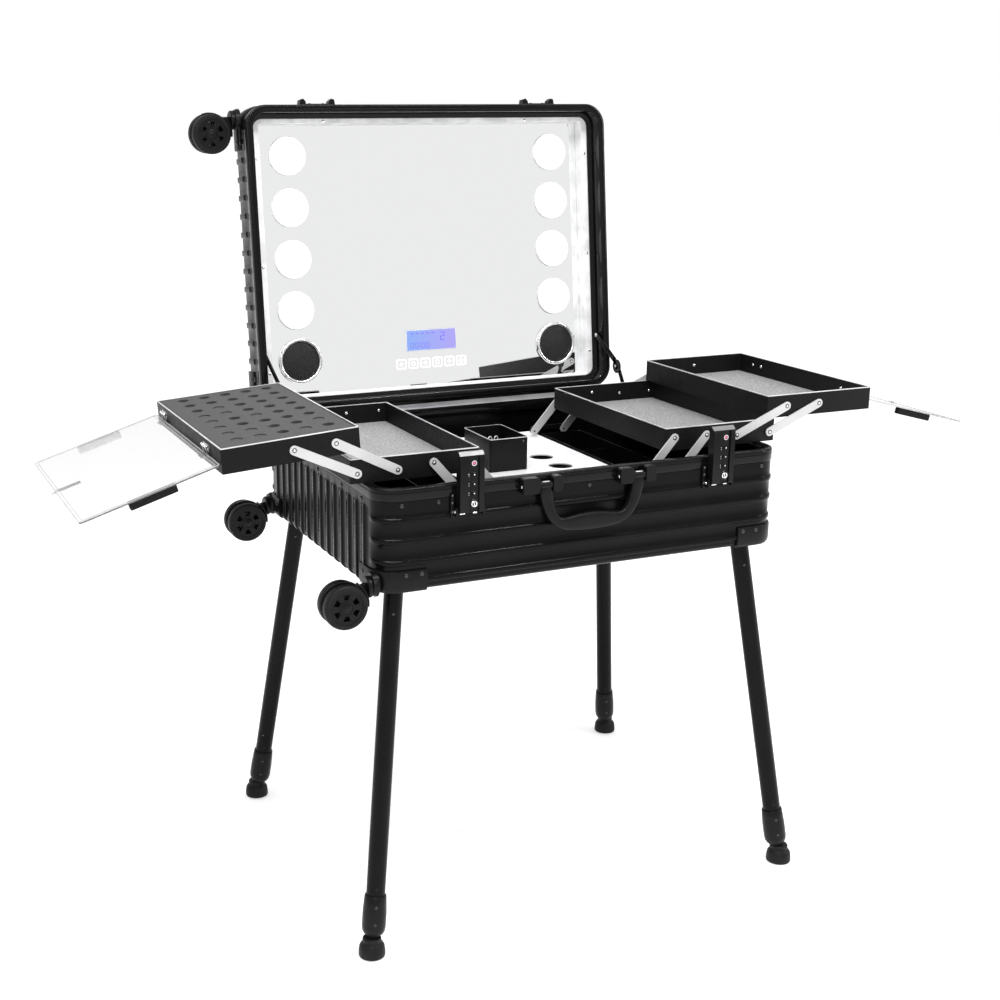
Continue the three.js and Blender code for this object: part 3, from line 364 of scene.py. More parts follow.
class Shape:
    """Faces gathered in millimetres. Each face keeps the number of its finish."""

    def __init__(self):
        self.points, self.faces, self.numbers = [], [], []

    def add(self, points, faces, number=0):
        start = len(self.points)
        self.points += [Vector(p) for p in points]
        self.faces += [[start + i for i in face] for face in faces]
        self.numbers += [number] * len(faces)
        return self

    def box(self, x, y, z, number=0):
        corners = list(product(sorted(x), sorted(y), sorted(z)))
        faces = [(0, 1, 3, 2), (4, 6, 7, 5), (0, 4, 5, 1), (2, 3, 7, 6), (0, 2, 6, 4), (1, 5, 7, 3)]
        return self.add(corners, faces, number)

    def prism(self, outline, axis, low, high, number=0, holes=()):
        """An outline drawn in the other two axes, in order, stretched along the named axis."""
        loops = [list(outline), *[list(hole) for hole in holes]]

        def at(point, along):
            u, v = point
            return {"X": (along, u, v), "Y": (u, along, v), "Z": (u, v, along)}[axis]

        flat = [p for loop in loops for p in loop]
        points = [at(p, low) for p in flat] + [at(p, high) for p in flat]
        count = len(flat)
        if holes:
            caps = tessellate_polygon([[Vector((*p, 0)) for p in loop] for loop in loops])
        else:
            caps = [tuple(range(count))]
        faces = [tuple(cap) for cap in caps]
        faces += [tuple(i + count for i in reversed(cap)) for cap in caps]
        start = 0
        for loop in loops:
            for i in range(len(loop)):
                a, b = start + i, start + (i + 1) % len(loop)
                faces.append((a, b, b + count, a + count))
            start += len(loop)
        return self.add(points, faces, number)

    def lathe(self, profile, base, direction, number=0, steps=32):
        """A profile of (radius, distance along) turned about a line from base."""
        turn = moved(*base) @ Vector(direction).to_track_quat("Z", "Y").to_matrix().to_4x4()
        points, rings = [], []
        for radius, along in profile:
            ring = []
            for i in range(steps if radius > 0 else 1):
                angle = 2 * pi * i / steps
                ring.append(len(points))
                points.append(turn @ Vector((*polar((0, 0), radius, angle), along)))
            rings.append(ring)
        faces = []
        closed = profile[0][0] > 0 and profile[-1][0] > 0
        pairs = list(zip(rings, rings[1:])) + ([(rings[-1], rings[0])] if closed else [])
        for near, far in pairs:
            for i in range(steps):
                j = (i + 1) % steps
                if len(near) == 1 and len(far) == 1:
                    continue
                if len(near) == 1:
                    faces.append((near[0], far[i], far[j]))
                elif len(far) == 1:
                    faces.append((near[i], far[0], near[j]))
                else:
                    faces.append((near[i], far[i], far[j], near[j]))
        return self.add(points, faces, number)

    def rod(self, start, end, radius, number=0, steps=24, edge=0.4):
        length = (Vector(end) - Vector(start)).length
        edge = min(edge, radius / 2, length / 2.1)
        half = [(0, 0), (radius - edge, 0), (radius, edge)]
        profile = half + [(radius, length - edge), (radius - edge, length), (0, length)]
        return self.lathe(profile, start, Vector(end) - Vector(start), number, steps)

    def rivet(self, base, direction, radius, rise, number=0, steps=20):
        """A low domed head standing on a surface."""
        arc = [radians(a) for a in (0, 25, 50, 72)]
        dome = [(radius * cos(a), rise * sin(a)) for a in arc]
        profile = [(0, -0.6), (radius, -0.6), *dome, (0, rise)]
        return self.lathe(profile, base, direction, number, steps)

    def band(self, path, section, closed=True):
        """A section of (out, z) carried along a path of (point, outward normal) in X and Y."""
        count = len(section)
        points = [
            (x + nx * out, y + ny * out, z) for (x, y), (nx, ny) in path for out, z in section
        ]
        faces = []
        spans = len(path) if closed else len(path) - 1
        for i in range(spans):
            near, far = i * count, (i + 1) % len(path) * count
            for k in range(count):
                m = (k + 1) % count
                faces.append((near + k, far + k, far + m, near + m))
        if not closed:
            faces.append(tuple(range(count)))
            faces.append(tuple(range(len(points) - count, len(points))))
        return self.add(points, faces)


def piece(name, shape, body, finishes, place=CASE, bevel=0, sharp=38, segments=2, node=None):
    """A Blender object from a shape, riding on a body and standing in for a node of the frame."""
    mesh = bpy.data.meshes.new(name)
    mesh.from_pydata([place @ p for p in shape.points], [], shape.faces)
    for key in finishes:
        mesh.materials.append(MADE[key].material)
    mesh.polygons.foreach_set("material_index", shape.numbers)
    work = bmesh.new()
    work.from_mesh(mesh)
    bmesh.ops.recalc_face_normals(work, faces=work.faces)
    work.to_mesh(mesh)
    work.free()
    mesh.polygons.foreach_set("use_smooth", [True] * len(mesh.polygons))
    if not bevel:
        mesh.set_sharp_from_angle(angle=radians(sharp))
    made = bpy.data.objects.new(name, mesh)
    bpy.context.collection.objects.link(made)
    if bevel:
        modifier = made.modifiers.new("edges", "BEVEL")
        modifier.width = bevel * MM
        modifier.segments = segments
        modifier.limit_method = "ANGLE"
        modifier.angle_limit = radians(32)
        modifier.harden_normals = True
    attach(made, body)
    if node:
        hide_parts(node)
    return made


QUARTERS = ((1, 1), (-1, 1), (-1, -1), (1, -1))
CORNERS = list(product((-1, 1), (-1, 1)))


def rounded(width, height, radius, steps=6, centre=(0, 0)):
    """The outline of a rounded rectangle."""
    points = []
    for quarter, (sx, sy) in enumerate(QUARTERS):
        for i in range(steps + 1):
            angle = radians(90 * (quarter + i / steps))
            x = centre[0] + sx * (width / 2 - radius)
            y = centre[1] + sy * (height / 2 - radius)
            points.append(polar((x, y), radius, angle))
    return points


def circle(centre, radius, steps=24):
    return [polar(centre, radius, 2 * pi * i / steps) for i in range(steps)]


def capsule(start, end, width, steps=10):
    """The outline of a flat bar with round ends."""
    heading = atan2(end[1] - start[1], end[0] - start[0])
    points = []
    for centre, first in ((end, heading - pi / 2), (start, heading + pi / 2)):
        for i in range(steps + 1):
            points.append(polar(centre, width / 2, first + pi * i / steps))
    return points


def station(sx, sy, nx, ny):
    """A place on the round of one of the case's corners, with its outward normal."""
    x, y = HALF_WIDTH - CORNER, HALF_DEPTH - CORNER
    return (sx * x + CORNER * nx, sy * y + CORNER * ny), (nx, ny)


def case_path(steps=8, along_x=(), along_y=()):
    """The case's outline as (point, normal), with extra stations on its flats where asked for."""
    flats = (
        [((s, HALF_DEPTH), (0, 1)) for s in sorted(along_x, reverse=True)],
        [((-HALF_WIDTH, s), (-1, 0)) for s in sorted(along_y, reverse=True)],
        [((s, -HALF_DEPTH), (0, -1)) for s in sorted(along_x)],
        [((HALF_WIDTH, s), (1, 0)) for s in sorted(along_y)],
    )
    path = []
    for quarter, (sx, sy) in enumerate(QUARTERS):
        for i in range(steps + 1):
            angle = radians(90 * (quarter + i / steps))
            path.append(station(sx, sy, cos(angle), sin(angle)))
        path += flats[quarter]
    return path


# ---- Ribbed shells -------------------------------------------------------------------------------
RIB_PITCH, RIB_COUNT, RIB_HALF, RIB_SIDE, RIB_PROUD = 28, 14, 3.6, 1.6, 2.2
RIB_END, RIB_FADE = 9, 6
BAND_HALF, BAND_SIDE, BAND_PROUD = 2.4, 1.9, 1.7
EDGE_ROUND, SHELL_INSET, SHELL_WALL = 9, 1, 4
RIB_CENTRES = [(i - (RIB_COUNT - 1) / 2) * RIB_PITCH for i in range(RIB_COUNT)]


def rise(distance, half, side):
    """1 on a rib, 0 beside it, with a soft slope between."""
    t = min(1, max(0, (half + side - abs(distance)) / side))
    return t * t * (3 - 2 * t)


def ribbed_shell(name, low, high, bands, body, place, node):
    """A shell with ribs over its flat face and ends, and raised bands along its front and rear."""
    slope = list(product((-1, 1), (0, 0.33, 0.67, 1)))
    stations = [c + s * (RIB_HALF + k * RIB_SIDE) for c in RIB_CENTRES for s, k in slope]
    path = case_path(16, [i * 92 for i in range(-3, 4)], stations)
    levels = {high, low + EDGE_ROUND}
    levels |= {high - RIB_END - k * RIB_FADE for k in (0, 0.3, 0.6, 1)}
    levels |= {b + s * (BAND_HALF + k * BAND_SIDE) for b in bands for s, k in slope}
    levels = [z for z in sorted(levels, reverse=True) if low + EDGE_ROUND <= z <= high]
    # Each loop is (inset, z, how far its normal points down).
    loops = [(SHELL_INSET + SHELL_WALL, low + SHELL_WALL, 0), (SHELL_INSET + SHELL_WALL, high, 0)]
    loops += [(SHELL_INSET, z, 0) for z in levels]
    for i in range(1, 7):
        down = radians(15 * i)
        inset = SHELL_INSET + EDGE_ROUND * (1 - cos(down))
        loops.append((inset, low + EDGE_ROUND * (1 - sin(down)), sin(down)))
    shape = Shape()
    count = len(path)
    points = []
    for number, (inset, z, down) in enumerate(loops):
        for (x, y), (nx, ny) in path:
            proud = 0
            if number > 1:
                if abs(nx) > 0.999:
                    proud = RIB_PROUD * max(rise(y - c, RIB_HALF, RIB_SIDE) for c in RIB_CENTRES)
                    proud *= rise(z - low, high - low - RIB_END - RIB_FADE, RIB_FADE)
                elif bands:
                    proud = BAND_PROUD * min(1, max(0, (1 - abs(nx)) / 0.03))
                    proud *= max(rise(z - b, BAND_HALF, BAND_SIDE) for b in bands)
            across = sqrt(1 - down * down)
            out = -inset + proud * across
            points.append((x + nx * out, y + ny * out, z - proud * down))
    faces = skin(len(loops), count) + [tuple(range(count))]
    last = (len(loops) - 1) * count
    # The flat face is a ladder of strips between the two ends, so the ribs run its whole length.
    left = [i for i in range(count) if path[i][1][0] < -1e-6]
    right = [i for i in range(count) if path[i][1][0] > 1e-6]
    left.sort(key=lambda i: path[i][0][1])
    right.sort(key=lambda i: path[i][0][1])
    for a, b in zip(zip(left, left[1:]), zip(right, right[1:])):
        faces.append((last + a[0], last + a[1], last + b[1], last + b[0]))
    for side in (-1, 1):
        edge = [i for i in range(count) if abs(path[i][1][0]) <= 1e-6 and path[i][1][1] * side > 0]
        edge.sort(key=lambda i: path[i][0][0])
        ends = (left[-1], right[-1]) if side > 0 else (left[0], right[0])
        faces.append((last + ends[0], *[last + i for i in edge], last + ends[1]))
    shape.add(points, faces)
    return piece(name, shape, body, ["shell"], place, sharp=50, node=node)


GUARD_PLATE = [
    (-12, 499.9), (-4, 500), (0, 501.6), (1.7, 504.5), (2.3, 508), (2.3, 528.4),
    (1.5, 530.4), (0.2, 531), (-0.9, 531), (-0.9, 510), (-3, 505), (-8, 501.7), (-12, 501.1),
]


def corner_path(sx, sy, along_x, along_y, steps=12):
    """The outline round one corner, from a place on its long side to a place on its end."""
    x, y = HALF_WIDTH - CORNER, HALF_DEPTH - CORNER
    path = [((sx * (x - along_x), sy * HALF_DEPTH), (0, sy))]
    for i in range(steps + 1):
        angle = radians(90 * (1 - i / steps))
        path.append(station(sx, sy, sx * cos(angle), sy * sin(angle)))
    path.append(((sx * HALF_WIDTH, sy * (y - along_y)), (sx, 0)))
    return path


def corner_guards(name, body, place, drop):
    """Four moulded guards over the corners of a shell's outer edge."""
    shape = Shape()
    section = [(out, z - drop) for out, z in GUARD_PLATE]
    for sx, sy in CORNERS:
        shape.band(corner_path(sx, sy, 34, 30), section, False)
        for x in (250, 272):
            shape.rivet((sx * x, sy * (HALF_DEPTH + 2.2), 525 - drop), (0, sy, 0), 3.2, 1.6, 1)
        shape.rivet((sx * (HALF_WIDTH + 2.2), sy * 182, 521 - drop), (sx, 0, 0), 3.2, 1.6, 1)
    piece(name, shape, body, ["plastic", "black_metal"], place, sharp=34)


def build_shells():
    bands, high = [598, 570, 541, 516], RIM_LOW - 0.3
    ribbed_shell("ribbed_base_shell", BASE_BOTTOM, high, bands, "case", CASE, "base_shell")
    high = LID_THICKNESS - 17.9
    ribbed_shell("ribbed_lid_shell", 0, high, [30], "lid", LID_BACK, "lid_shell")
    corner_guards("base_corner_guards", "case", CASE, 0)
    corner_guards("lid_corner_guards", "lid", LID_BACK, BASE_BOTTOM)
    rivets = Shape()
    front = -HALF_DEPTH + 0.8
    for x in (-277, -225, -2, 225, 277):
        rivets.rivet((x, front, 618.2), FRONT, 3, 1.7)
        rivets.rivet((x, -front, 618.2), REAR, 3, 1.7)
    for side, y in product((-1, 1), (-172, -98, -2, 98, 172)):
        rivets.rivet((side * (HALF_WIDTH - 1), y, 617.5), (side, 0, 0), 3.2, 1.7)
    piece("base_rivets", rivets, "case", ["black_metal"])
    shape = Shape()
    for sx, sy in CORNERS:
        x, y = sx * 268.2, sy * 190.5
        shape.lathe([(15.5, 0), (14.5, 34), (9.6, 34), (9.6, 0)], (x, y, 505.5), UP, 0, 28)
    for y, x in product((-TROLLEY_ROD, TROLLEY_ROD), (-40, 259)):
        shape.box((x, x + 48), (y - 10, y - 7), (INSIDE_FLOOR, 525))
        shape.box((x, x + 48), (y + 7, y + 10), (INSIDE_FLOOR, 525))
        shape.box((x, x + 48), (y - 7, y + 7), (521.5, 525))
    piece("leg_sockets_and_rod_guides", shape, "case", ["plastic"], bevel=0.5)
    plate = [(0, 0), (17, 0), (17, 3), (15, 7.5), (0, 7.5)]
    for name, body, place, spots in (
        ("base", "case", CASE, [(-CASTER_SIDE, 513), (CASTER_SIDE, 513)]),
        ("lid", "lid", LID, [(LID_CASTER_DEPTH, z) for z in LID_CASTERS]),
    ):
        shape = Shape()
        for y, z in spots:
            shape.lathe(plate, (-HALF_WIDTH + 3, y, z), LEFT, 0, 36)
        piece("caster_plates_" + name, shape, body, ["plastic"], place)


# ---- Rims, hinge and strikers --------------------------------------------------------------------
def rim_section(top, low, inner):
    """A rim from its outer face, which has a groove, over its stepped top to its inner face."""
    return [
        (-1.4, low), (-0.3, low + 0.5), (0, low + 1.3), (0, top - 6.6), (-0.9, top - 6.1),
        (-0.9, top - 4.9), (0, top - 4.4), (0, top - 2.2), (-0.7, top - 0.7), (-2.2, top),
        (-4.8, top), (-5.2, top - 0.9), (-6.6, top - 0.9), (-7, top), (-inner + 1, top),
        (-inner + 0.3, top - 0.3), (-inner, top - 1),
    ]


def build_rims():
    section = rim_section(BASE_TOP, RIM_LOW, 11.5) + [(-11.5, RIM_LOW + 0.8), (-10.8, RIM_LOW)]
    shape = Shape().band(case_path(14), section)
    piece("base_metal_rim", shape, "case", ["rim"], sharp=50, node="base_rim")
    top = LID_THICKNESS - 0.4
    low = top - 17.2
    ledge = [(-11.5, 40.4), (-11.9, 40.1), (-18, 40.1), (-18.5, 39.6), (-18.5, 36.8)]
    ledge += [(-7, 36.8), (-7, low)]
    shape = Shape().band(case_path(14), rim_section(top, low, 11.5) + ledge)
    piece("lid_metal_rim", shape, "lid", ["rim"], LID_BACK, sharp=50, node="lid_rim")
    shape = Shape()
    rear = HALF_DEPTH
    for left, right in ((-240, -160), (-40, 40), (160, 240)):
        shape.rod((left, HINGE_Y, BASE_TOP), (right, HINGE_Y, BASE_TOP), 5, 0, 20)
        shape.box((left, right), (rear + 0.1, HINGE_Y - 1), (BASE_TOP - 5, BASE_TOP - 2))
        shape.box((left, right), (rear + 0.1, rear + 1.6), (BASE_TOP - 30, BASE_TOP - 2))
        for x in (left + 12, (left + right) / 2, right - 12):
            shape.rivet((x, rear + 1.6, BASE_TOP - 18), REAR, 3, 1.4, 1)
    shape.rod((-241, HINGE_Y, BASE_TOP), (241, HINGE_Y, BASE_TOP), 2.2, 1, 16)
    strip = [(222.5, 0.2), (223.5, 1.4), (237.5, 5.2), (238, 4.2), (234, 0.2)]
    shape.prism([(y, BASE_TOP + up) for y, up in strip], "X", -268, 268, 2)
    finishes = ["rim", "dark_metal", "pale_strip_and_sheen"]
    piece("base_hinge_leaves", shape, "case", finishes, sharp=30)
    shape = Shape()
    for left, right in ((-159.2, -40.8), (40.8, 159.2)):
        shape.rod((left, 0, 0), (right, 0, 0), 5, 0, 20)
        shape.box((left, right), (1.5, 4.6), (1, HINGE_OUT + 1))
    shape.box((-268, 268), (5.4, 7), (1, HINGE_OUT + 1))
    piece("lid_hinge_leaves", shape, "lid", ["rim"], LID, sharp=30)
    shape = Shape()
    top = HINGE_OUT + CASE_DEPTH - 1
    for x in LOCKS.values():
        shape.box((x - 27, x + 27), (30, 40), (top - 1, top + 5.5))
        for s in (-1, 1):
            hook = [(18, -1), (19, 9), (23, 13), (28, 11.5), (30, -1)]
            shape.prism([(x + s * u, top + up) for u, up in hook], "Y", 28, 42)
            shape.rivet((x + s * 11, 35, top + 5.5), UP, 3, 1.2, 1)
    piece("lid_lock_strikers", shape, "lid", ["rim", "black_metal"], LID, bevel=0.8)


# ---- Lid interior --------------------------------------------------------------------------------
MIRROR_DEPTH, FRAME_FRONT, FRAME_MIDDLE, OPENING = 51.4, 30, 239.5, (563, 423)
MIRROR_FACE = MIRROR_DEPTH - 0.3
LAMP_X, LAMP_HEIGHTS, LAMP_RADIUS, LAMP_RISE = 231, (155, 235, 315, 395), 30.2, 12
SPEAKERS = {"left": -228, "right": 232}
SPEAKER_HEIGHT = 75
DISPLAY_X, DISPLAY_Z = (-43.5, 46), (78.2, 112.4)


def build_mirror_frame():
    shape = Shape()
    middle = (0, FRAME_MIDDLE)
    hole = rounded(*OPENING, 3, 3, middle)
    plate = rounded(CASE_WIDTH - 14, CASE_DEPTH - 14, 26, 8, (0, LID_MIDDLE))
    shape.prism(plate, "Y", FRAME_FRONT, FRAME_FRONT + 2.5, 0, [hole])
    sleeve = rounded(OPENING[0] + 6, OPENING[1] + 6, 5, 4, middle)
    shape.prism(sleeve, "Y", FRAME_FRONT + 2.4, MIRROR_FACE, 0, [hole])
    screws = [*product((-176, 176), (445, 15)), *product((-286.5, 286.5), (60, 225, 390))]
    for x, z in screws:
        z += HINGE_OUT
        shape.rivet((x, FRAME_FRONT, z), FRONT, 2.6, 1.3, 1)
    finishes = ["white", "chrome"]
    piece(
        "white_mirror_frame", shape, "lid", finishes, LID, bevel=0.5,
        node="mirror_frame",
    )
    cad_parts["mirror"].data.materials.clear()
    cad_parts["mirror"].data.materials.append(MADE["mirror"].material)


def build_lamps():
    face = MIRROR_FACE
    domes, collars = Shape(), Shape()
    arc = [radians(a) for a in (0, 12, 26, 42, 58, 74)]
    for sign, height in product((-1, 1), LAMP_HEIGHTS):
        base = (sign * LAMP_X, face, HINGE_OUT + height)
        dome = [(28.2 * cos(a) ** 0.6, 3 + (LAMP_RISE - 3) * sin(a)) for a in arc]
        domes.lathe([(0, 2.4), (28.2, 2.4), *dome, (0, LAMP_RISE)], base, FRONT, 0, 48)
        ring = [(0, 0), (LAMP_RADIUS, 0), (LAMP_RADIUS, 2.2), (29.4, 3.6), (28.4, 3.2)]
        ring += [(28.2, 2.5), (0, 2.5)]
        collars.lathe(ring, base, FRONT, 0, 48)
        collars.rod((base[0], face - 0.2, base[2]), (base[0], 56, base[2]), 19.2, 0, 24)
    piece("lamp_domes", domes, "lid", ["lamp"], LID)
    for sign in (-1, 1):
        x = (sign * LAMP_X - 36, sign * LAMP_X + 36)
        collars.box(x, (55.8, 61.6), (HINGE_OUT + 120, HINGE_OUT + 428), 1)
    collars.box((-LAMP_X, LAMP_X), (55.9, 61.5), (HINGE_OUT + 372, HINGE_OUT + 420), 1)
    piece(
        "lamp_collars_and_board", collars, "lid", ["white", "plastic"], LID,
        node="lamp_board",
    )


def build_speakers():
    face = MIRROR_FACE
    for name, x in SPEAKERS.items():
        base = (x, face, HINGE_OUT + SPEAKER_HEIGHT)
        ring = [(36, 0), (36, 3.4), (35.2, 4.8), (33.4, 5.4), (31.6, 4.8), (30.6, 3.4), (30.6, 0)]
        shape = Shape().lathe(ring, base, FRONT, 1, 64)
        mesh_dome = [(30.8, -0.4), (30.8, 1.8), (29, 2.5), (24, 3.3), (14, 4.2), (5, 4.6), (0, 4.7)]
        shape.lathe([(0, -0.4), *mesh_dome], base, FRONT, 2, 56)
        shape.rod((x, face, base[2]), (x, face + 10, base[2]), 30, 0, 32)
        for turn in range(0, 360, 30):
            a = radians(turn)
            for reach in (10, 17, 24):
                u, v = polar((x, base[2]), reach, a)
                shape.rivet((u, face - 4.5 + reach * 0.045, v), FRONT, 0.8, 0.4, 2, 8)
        finishes = ["plastic", "chrome", "grille"]
        piece(
            "ringed_speaker_" + name, shape, "lid", finishes, LID, sharp=42,
            node="speaker_" + name,
        )


# Which of a digit's seven bars are lit: top, upper right, lower right, bottom, lower left, upper
# left, middle.
LIT_BARS = {"1": (1, 2), "2": (0, 1, 6, 4, 3), "0": (0, 1, 2, 3, 4, 5), "8": (0, 1, 2, 3, 4, 5, 6)}


def digit(shape, character, x, z, width, height, y, number):
    thick = width * 0.17
    half = height / 2
    bars = [
        ((x, x + width), (z + height - thick, z + height)),
        ((x + width - thick, x + width), (z + half, z + height)),
        ((x + width - thick, x + width), (z, z + half)),
        ((x, x + width), (z, z + thick)),
        ((x, x + thick), (z, z + half)),
        ((x, x + thick), (z + half, z + height)),
        ((x, x + width), (z + half - thick / 2, z + half + thick / 2)),
    ]
    for i in LIT_BARS[character]:
        (x0, x1), (z0, z1) = bars[i]
        shape.box((x0 + 0.2, x1 - 0.2), (y - 0.25 - 0.01 * i, y), (z0 + 0.2, z1 - 0.2), number)


def build_display():
    face = MIRROR_DEPTH - 0.2
    left, right = DISPLAY_X
    low, high = HINGE_OUT + DISPLAY_Z[0], HINGE_OUT + DISPLAY_Z[1]
    board = (HINGE_OUT + 44, HINGE_OUT + 118)
    shape = Shape().box((left - 24, right + 24), (55.8, 61.5), board, 1)
    shape.box(DISPLAY_X, (face + 0.1, 56), (low, high), 0)
    middle = ((left + right) / 2, (low + high) / 2)
    size = (right - left, high - low)
    edge = rounded(*size, 1.5, 3, middle)
    window = rounded(size[0] - 1.4, size[1] - 1.4, 1, 3, middle)
    shape.prism(edge, "Y", face - 0.4, face + 0.3, 3, [window])
    near = face + 0.1
    digit(shape, "2", left + 61, low + 15, 8, 14, near, 2)
    for i in range(4):
        digit(shape, "0", left + 7 + i * 8.4 + (3 if i > 1 else 0), low + 4.5, 5.6, 9, near, 2)
    for i in range(5):
        x = left + 8 + i * 9.4
        shape.box((x, x + 4.6), (near - 0.25, near), (high - 6.4, high - 5.2), 2)
    for z in (low + 6.5, low + 10.5):
        shape.box((left + 23.6, left + 25), (near - 0.25, near), (z, z + 1.4), 2)
    finishes = ["display", "plastic", "digits", "white"]
    piece("lit_display", shape, "lid", finishes, LID, node="control_panel")


def build_keys():
    """Six touch keys, outlined, with a ring or a cross on each."""
    keys = Shape()
    near, far = MIRROR_DEPTH - 0.35, MIRROR_DEPTH + 0.1
    for i in range(6):
        x, z = centre = (21.6 * (i - 2.5), HINGE_OUT + 57.8)
        inner = rounded(14.2, 12.6, 2, 4, centre)
        keys.prism(rounded(17.6, 16, 3, 4, centre), "Y", near, far, 0, [inner])
        if i % 2:
            keys.prism(circle(centre, 3.6, 20), "Y", near, far, 0, [circle(centre, 2.6, 20)])
        else:
            keys.box((x - 3.6, x + 3.6), (near, far), (z - 0.6, z + 0.6))
            keys.box((x - 0.6, x + 0.6), (MIRROR_DEPTH - 0.34, far), (z - 3.6, z + 3.6))
    piece("touch_key_marks", keys, "lid", ["keys"], LID)


def build_inlet():
    inlet = Shape()
    end, middle = HALF_WIDTH - SHELL_INSET, (46, 132)
    hole = rounded(14, 16, 3, 4, middle)
    inlet.prism(rounded(28, 36, 3, 4, middle), "X", end + 2.4, end + 4.2, 0, [hole])
    inlet.prism(rounded(20, 24, 2, 4, middle), "X", end - 9, end + 2.5, 0, [hole])
    inlet.box((end - 9, end - 7), (38, 54), (123, 141), 0)
    for z in (117.5, 146.5):
        inlet.rivet((end + 4.2, 46, z), RIGHT, 1.8, 0.8, 1, 16)
    for z in (128, 136):
        inlet.rod((end - 8, 46, z), (end - 1, 46, z), 1.2, 1, 12)
    piece(
        "socketed_power_inlet", inlet, "lid", ["plastic", "chrome"], LID,
        node="power_inlet",
    )


# ---- Inside of the base --------------------------------------------------------------------------
SHEET = 1.6
BOTTLE_HOLES = list(product((-70, 70), (40, -21)))
PIVOT_RAILS = ((-192.9, -189.9), (144.8, 147.8))


def build_center_tray():
    half, front, rear, top, lip, step = 118, -178, 171, 590, 600, 88
    holes = [circle(hole, 18, 40) for hole in BOTTLE_HOLES]
    plate = [(-half, front), (half, front), (half, rear), (-half, rear)]
    shape = Shape().prism(plate, "Z", top - SHEET, top, 0, holes)
    for x in (-half, half - SHEET):
        shape.box((x, x + SHEET), (front, rear), (530, lip))
    shape.box((-half + SHEET, half - SHEET), (front, front + SHEET), (top - 0.2, lip))
    shape.box((-half + SHEET, half - SHEET), (rear - SHEET, rear), (top - 0.2, lip))
    ramp = [(step, top - 0.4), (step + 14, top + 7)]
    ramp += [(rear - SHEET, top + 7), (rear - SHEET, top - 0.4)]
    shape.prism(ramp, "X", -half + SHEET, half - SHEET)
    collar = [(18.9, -0.1), (18.9, 0.5), (18.3, 0.9), (17.8, 0.5), (17.8, -1.8)]
    for x, y in BOTTLE_HOLES:
        shape.lathe(collar, (x, y, top), UP, 0, 40)
    for x, y in product((-half, half - SHEET), (front, rear - SHEET)):
        shape.box((x, x + SHEET), (y, y + SHEET), (ABOVE_FLOOR, 531))
    piece(
        "bright_center_tray", shape, "case", ["silver"], bevel=0.4,
        node="center_tray",
    )


def build_brush_box():
    shape = Shape()
    low, high = 590.3, 640
    middle = (-16, 26)
    outer, inner = rounded(62, 92, 3, 4, middle), rounded(58.8, 88.8, 2, 4, middle)
    shape.prism(outer, "Z", low + 1.5, high, 0, [inner])
    shape.prism(outer, "Z", low, low + 1.6)
    inner = rounded(60.6, 90.6, 2.4, 4, middle)
    # The pale ring round the top is a painted highlight along the rim.
    shape.prism(rounded(62.2, 92.2, 3, 4, middle), "Z", high - 0.9, high + 0.1, 1, [inner])
    shape.rivet((7, -20, 634), FRONT, 1.5, 0.8, 2, 12)
    for x in (-22, -12):
        loop = [(4.2, 0), (4.6, 0.8), (4.2, 1.6), (3.4, 1.6), (3, 0.8), (3.4, 0)]
        shape.lathe(loop, (x, 34, 628), (0.4, -1, 0), 1, 24)
        shape.rod((x, 34, 592), (x, 34, 624), 0.8, 1, 10)
    finishes = ["plastic", "edge", "dark_metal"]
    piece("open_brush_box", shape, "case", finishes, bevel=0.3, node="brush_box")


def build_side_boxes():
    """The divided boxes at both sides, with the rails that carry the lower links."""
    for name, side in SIDES.items():
        shape = Shape()
        near, far = side * 122, side * 193
        y0, y1, z0, z1 = -184, 140, 530, 602
        shape.box((near, near + side * SHEET), (y0, y1), (z0, z1))
        shape.box((far - side * SHEET, far), (y0, y1), (z0, z1))
        between = (near + side * 1.5, far - side * 1.5)
        for y, high in ((y0, z1), (-76, z1 - 6), (32, z1 - 6), (y1 - SHEET, z1)):
            shape.box(between, (y, y + SHEET), (z0, high))
        shape.box(between, (y0 + 1.5, y1 - 1.5), (z0, z0 + SHEET))
        for x, y in product((near, far - side * 12), (y0, y1 - 12)):
            shape.box((x, x + side * 12), (y, y + 12), (ABOVE_FLOOR, z0 + 0.2))
        for plane in PIVOT_RAILS:
            ends = [(side * x, 607.5) for x in (111.4, 164.7)]
            shape.prism(capsule(*ends, 13), "Y", *plane)
            shape.box((side * 124, side * 173), plane, (590, 607))
        shape.box((side * 124, side * 173), (-192.9, -183), (590, 597.5))
        shape.box((side * 124, side * 173), (139, 147.8), (590, 597.5))
        for x, z in (LOWER_LINKS[0][0], LOWER_LINKS[1][0]):
            shape.rivet((side * x, PIVOT_RAILS[0][0], z), FRONT, 4, 1.6, 1)
            shape.rivet((side * x, PIVOT_RAILS[1][1], z), REAR, 4, 1.6, 1)
            for near, far in ((-190.5, -187.2), (142.2, 145.5)):
                shape.rod((side * x, near, z), (side * x, far, z), 2, 1, 12)
        piece(
            "divided_box_" + name, shape, "case", ["plastic", "dark_metal"],
            bevel=0.4, node="organizer_" + name,
        )


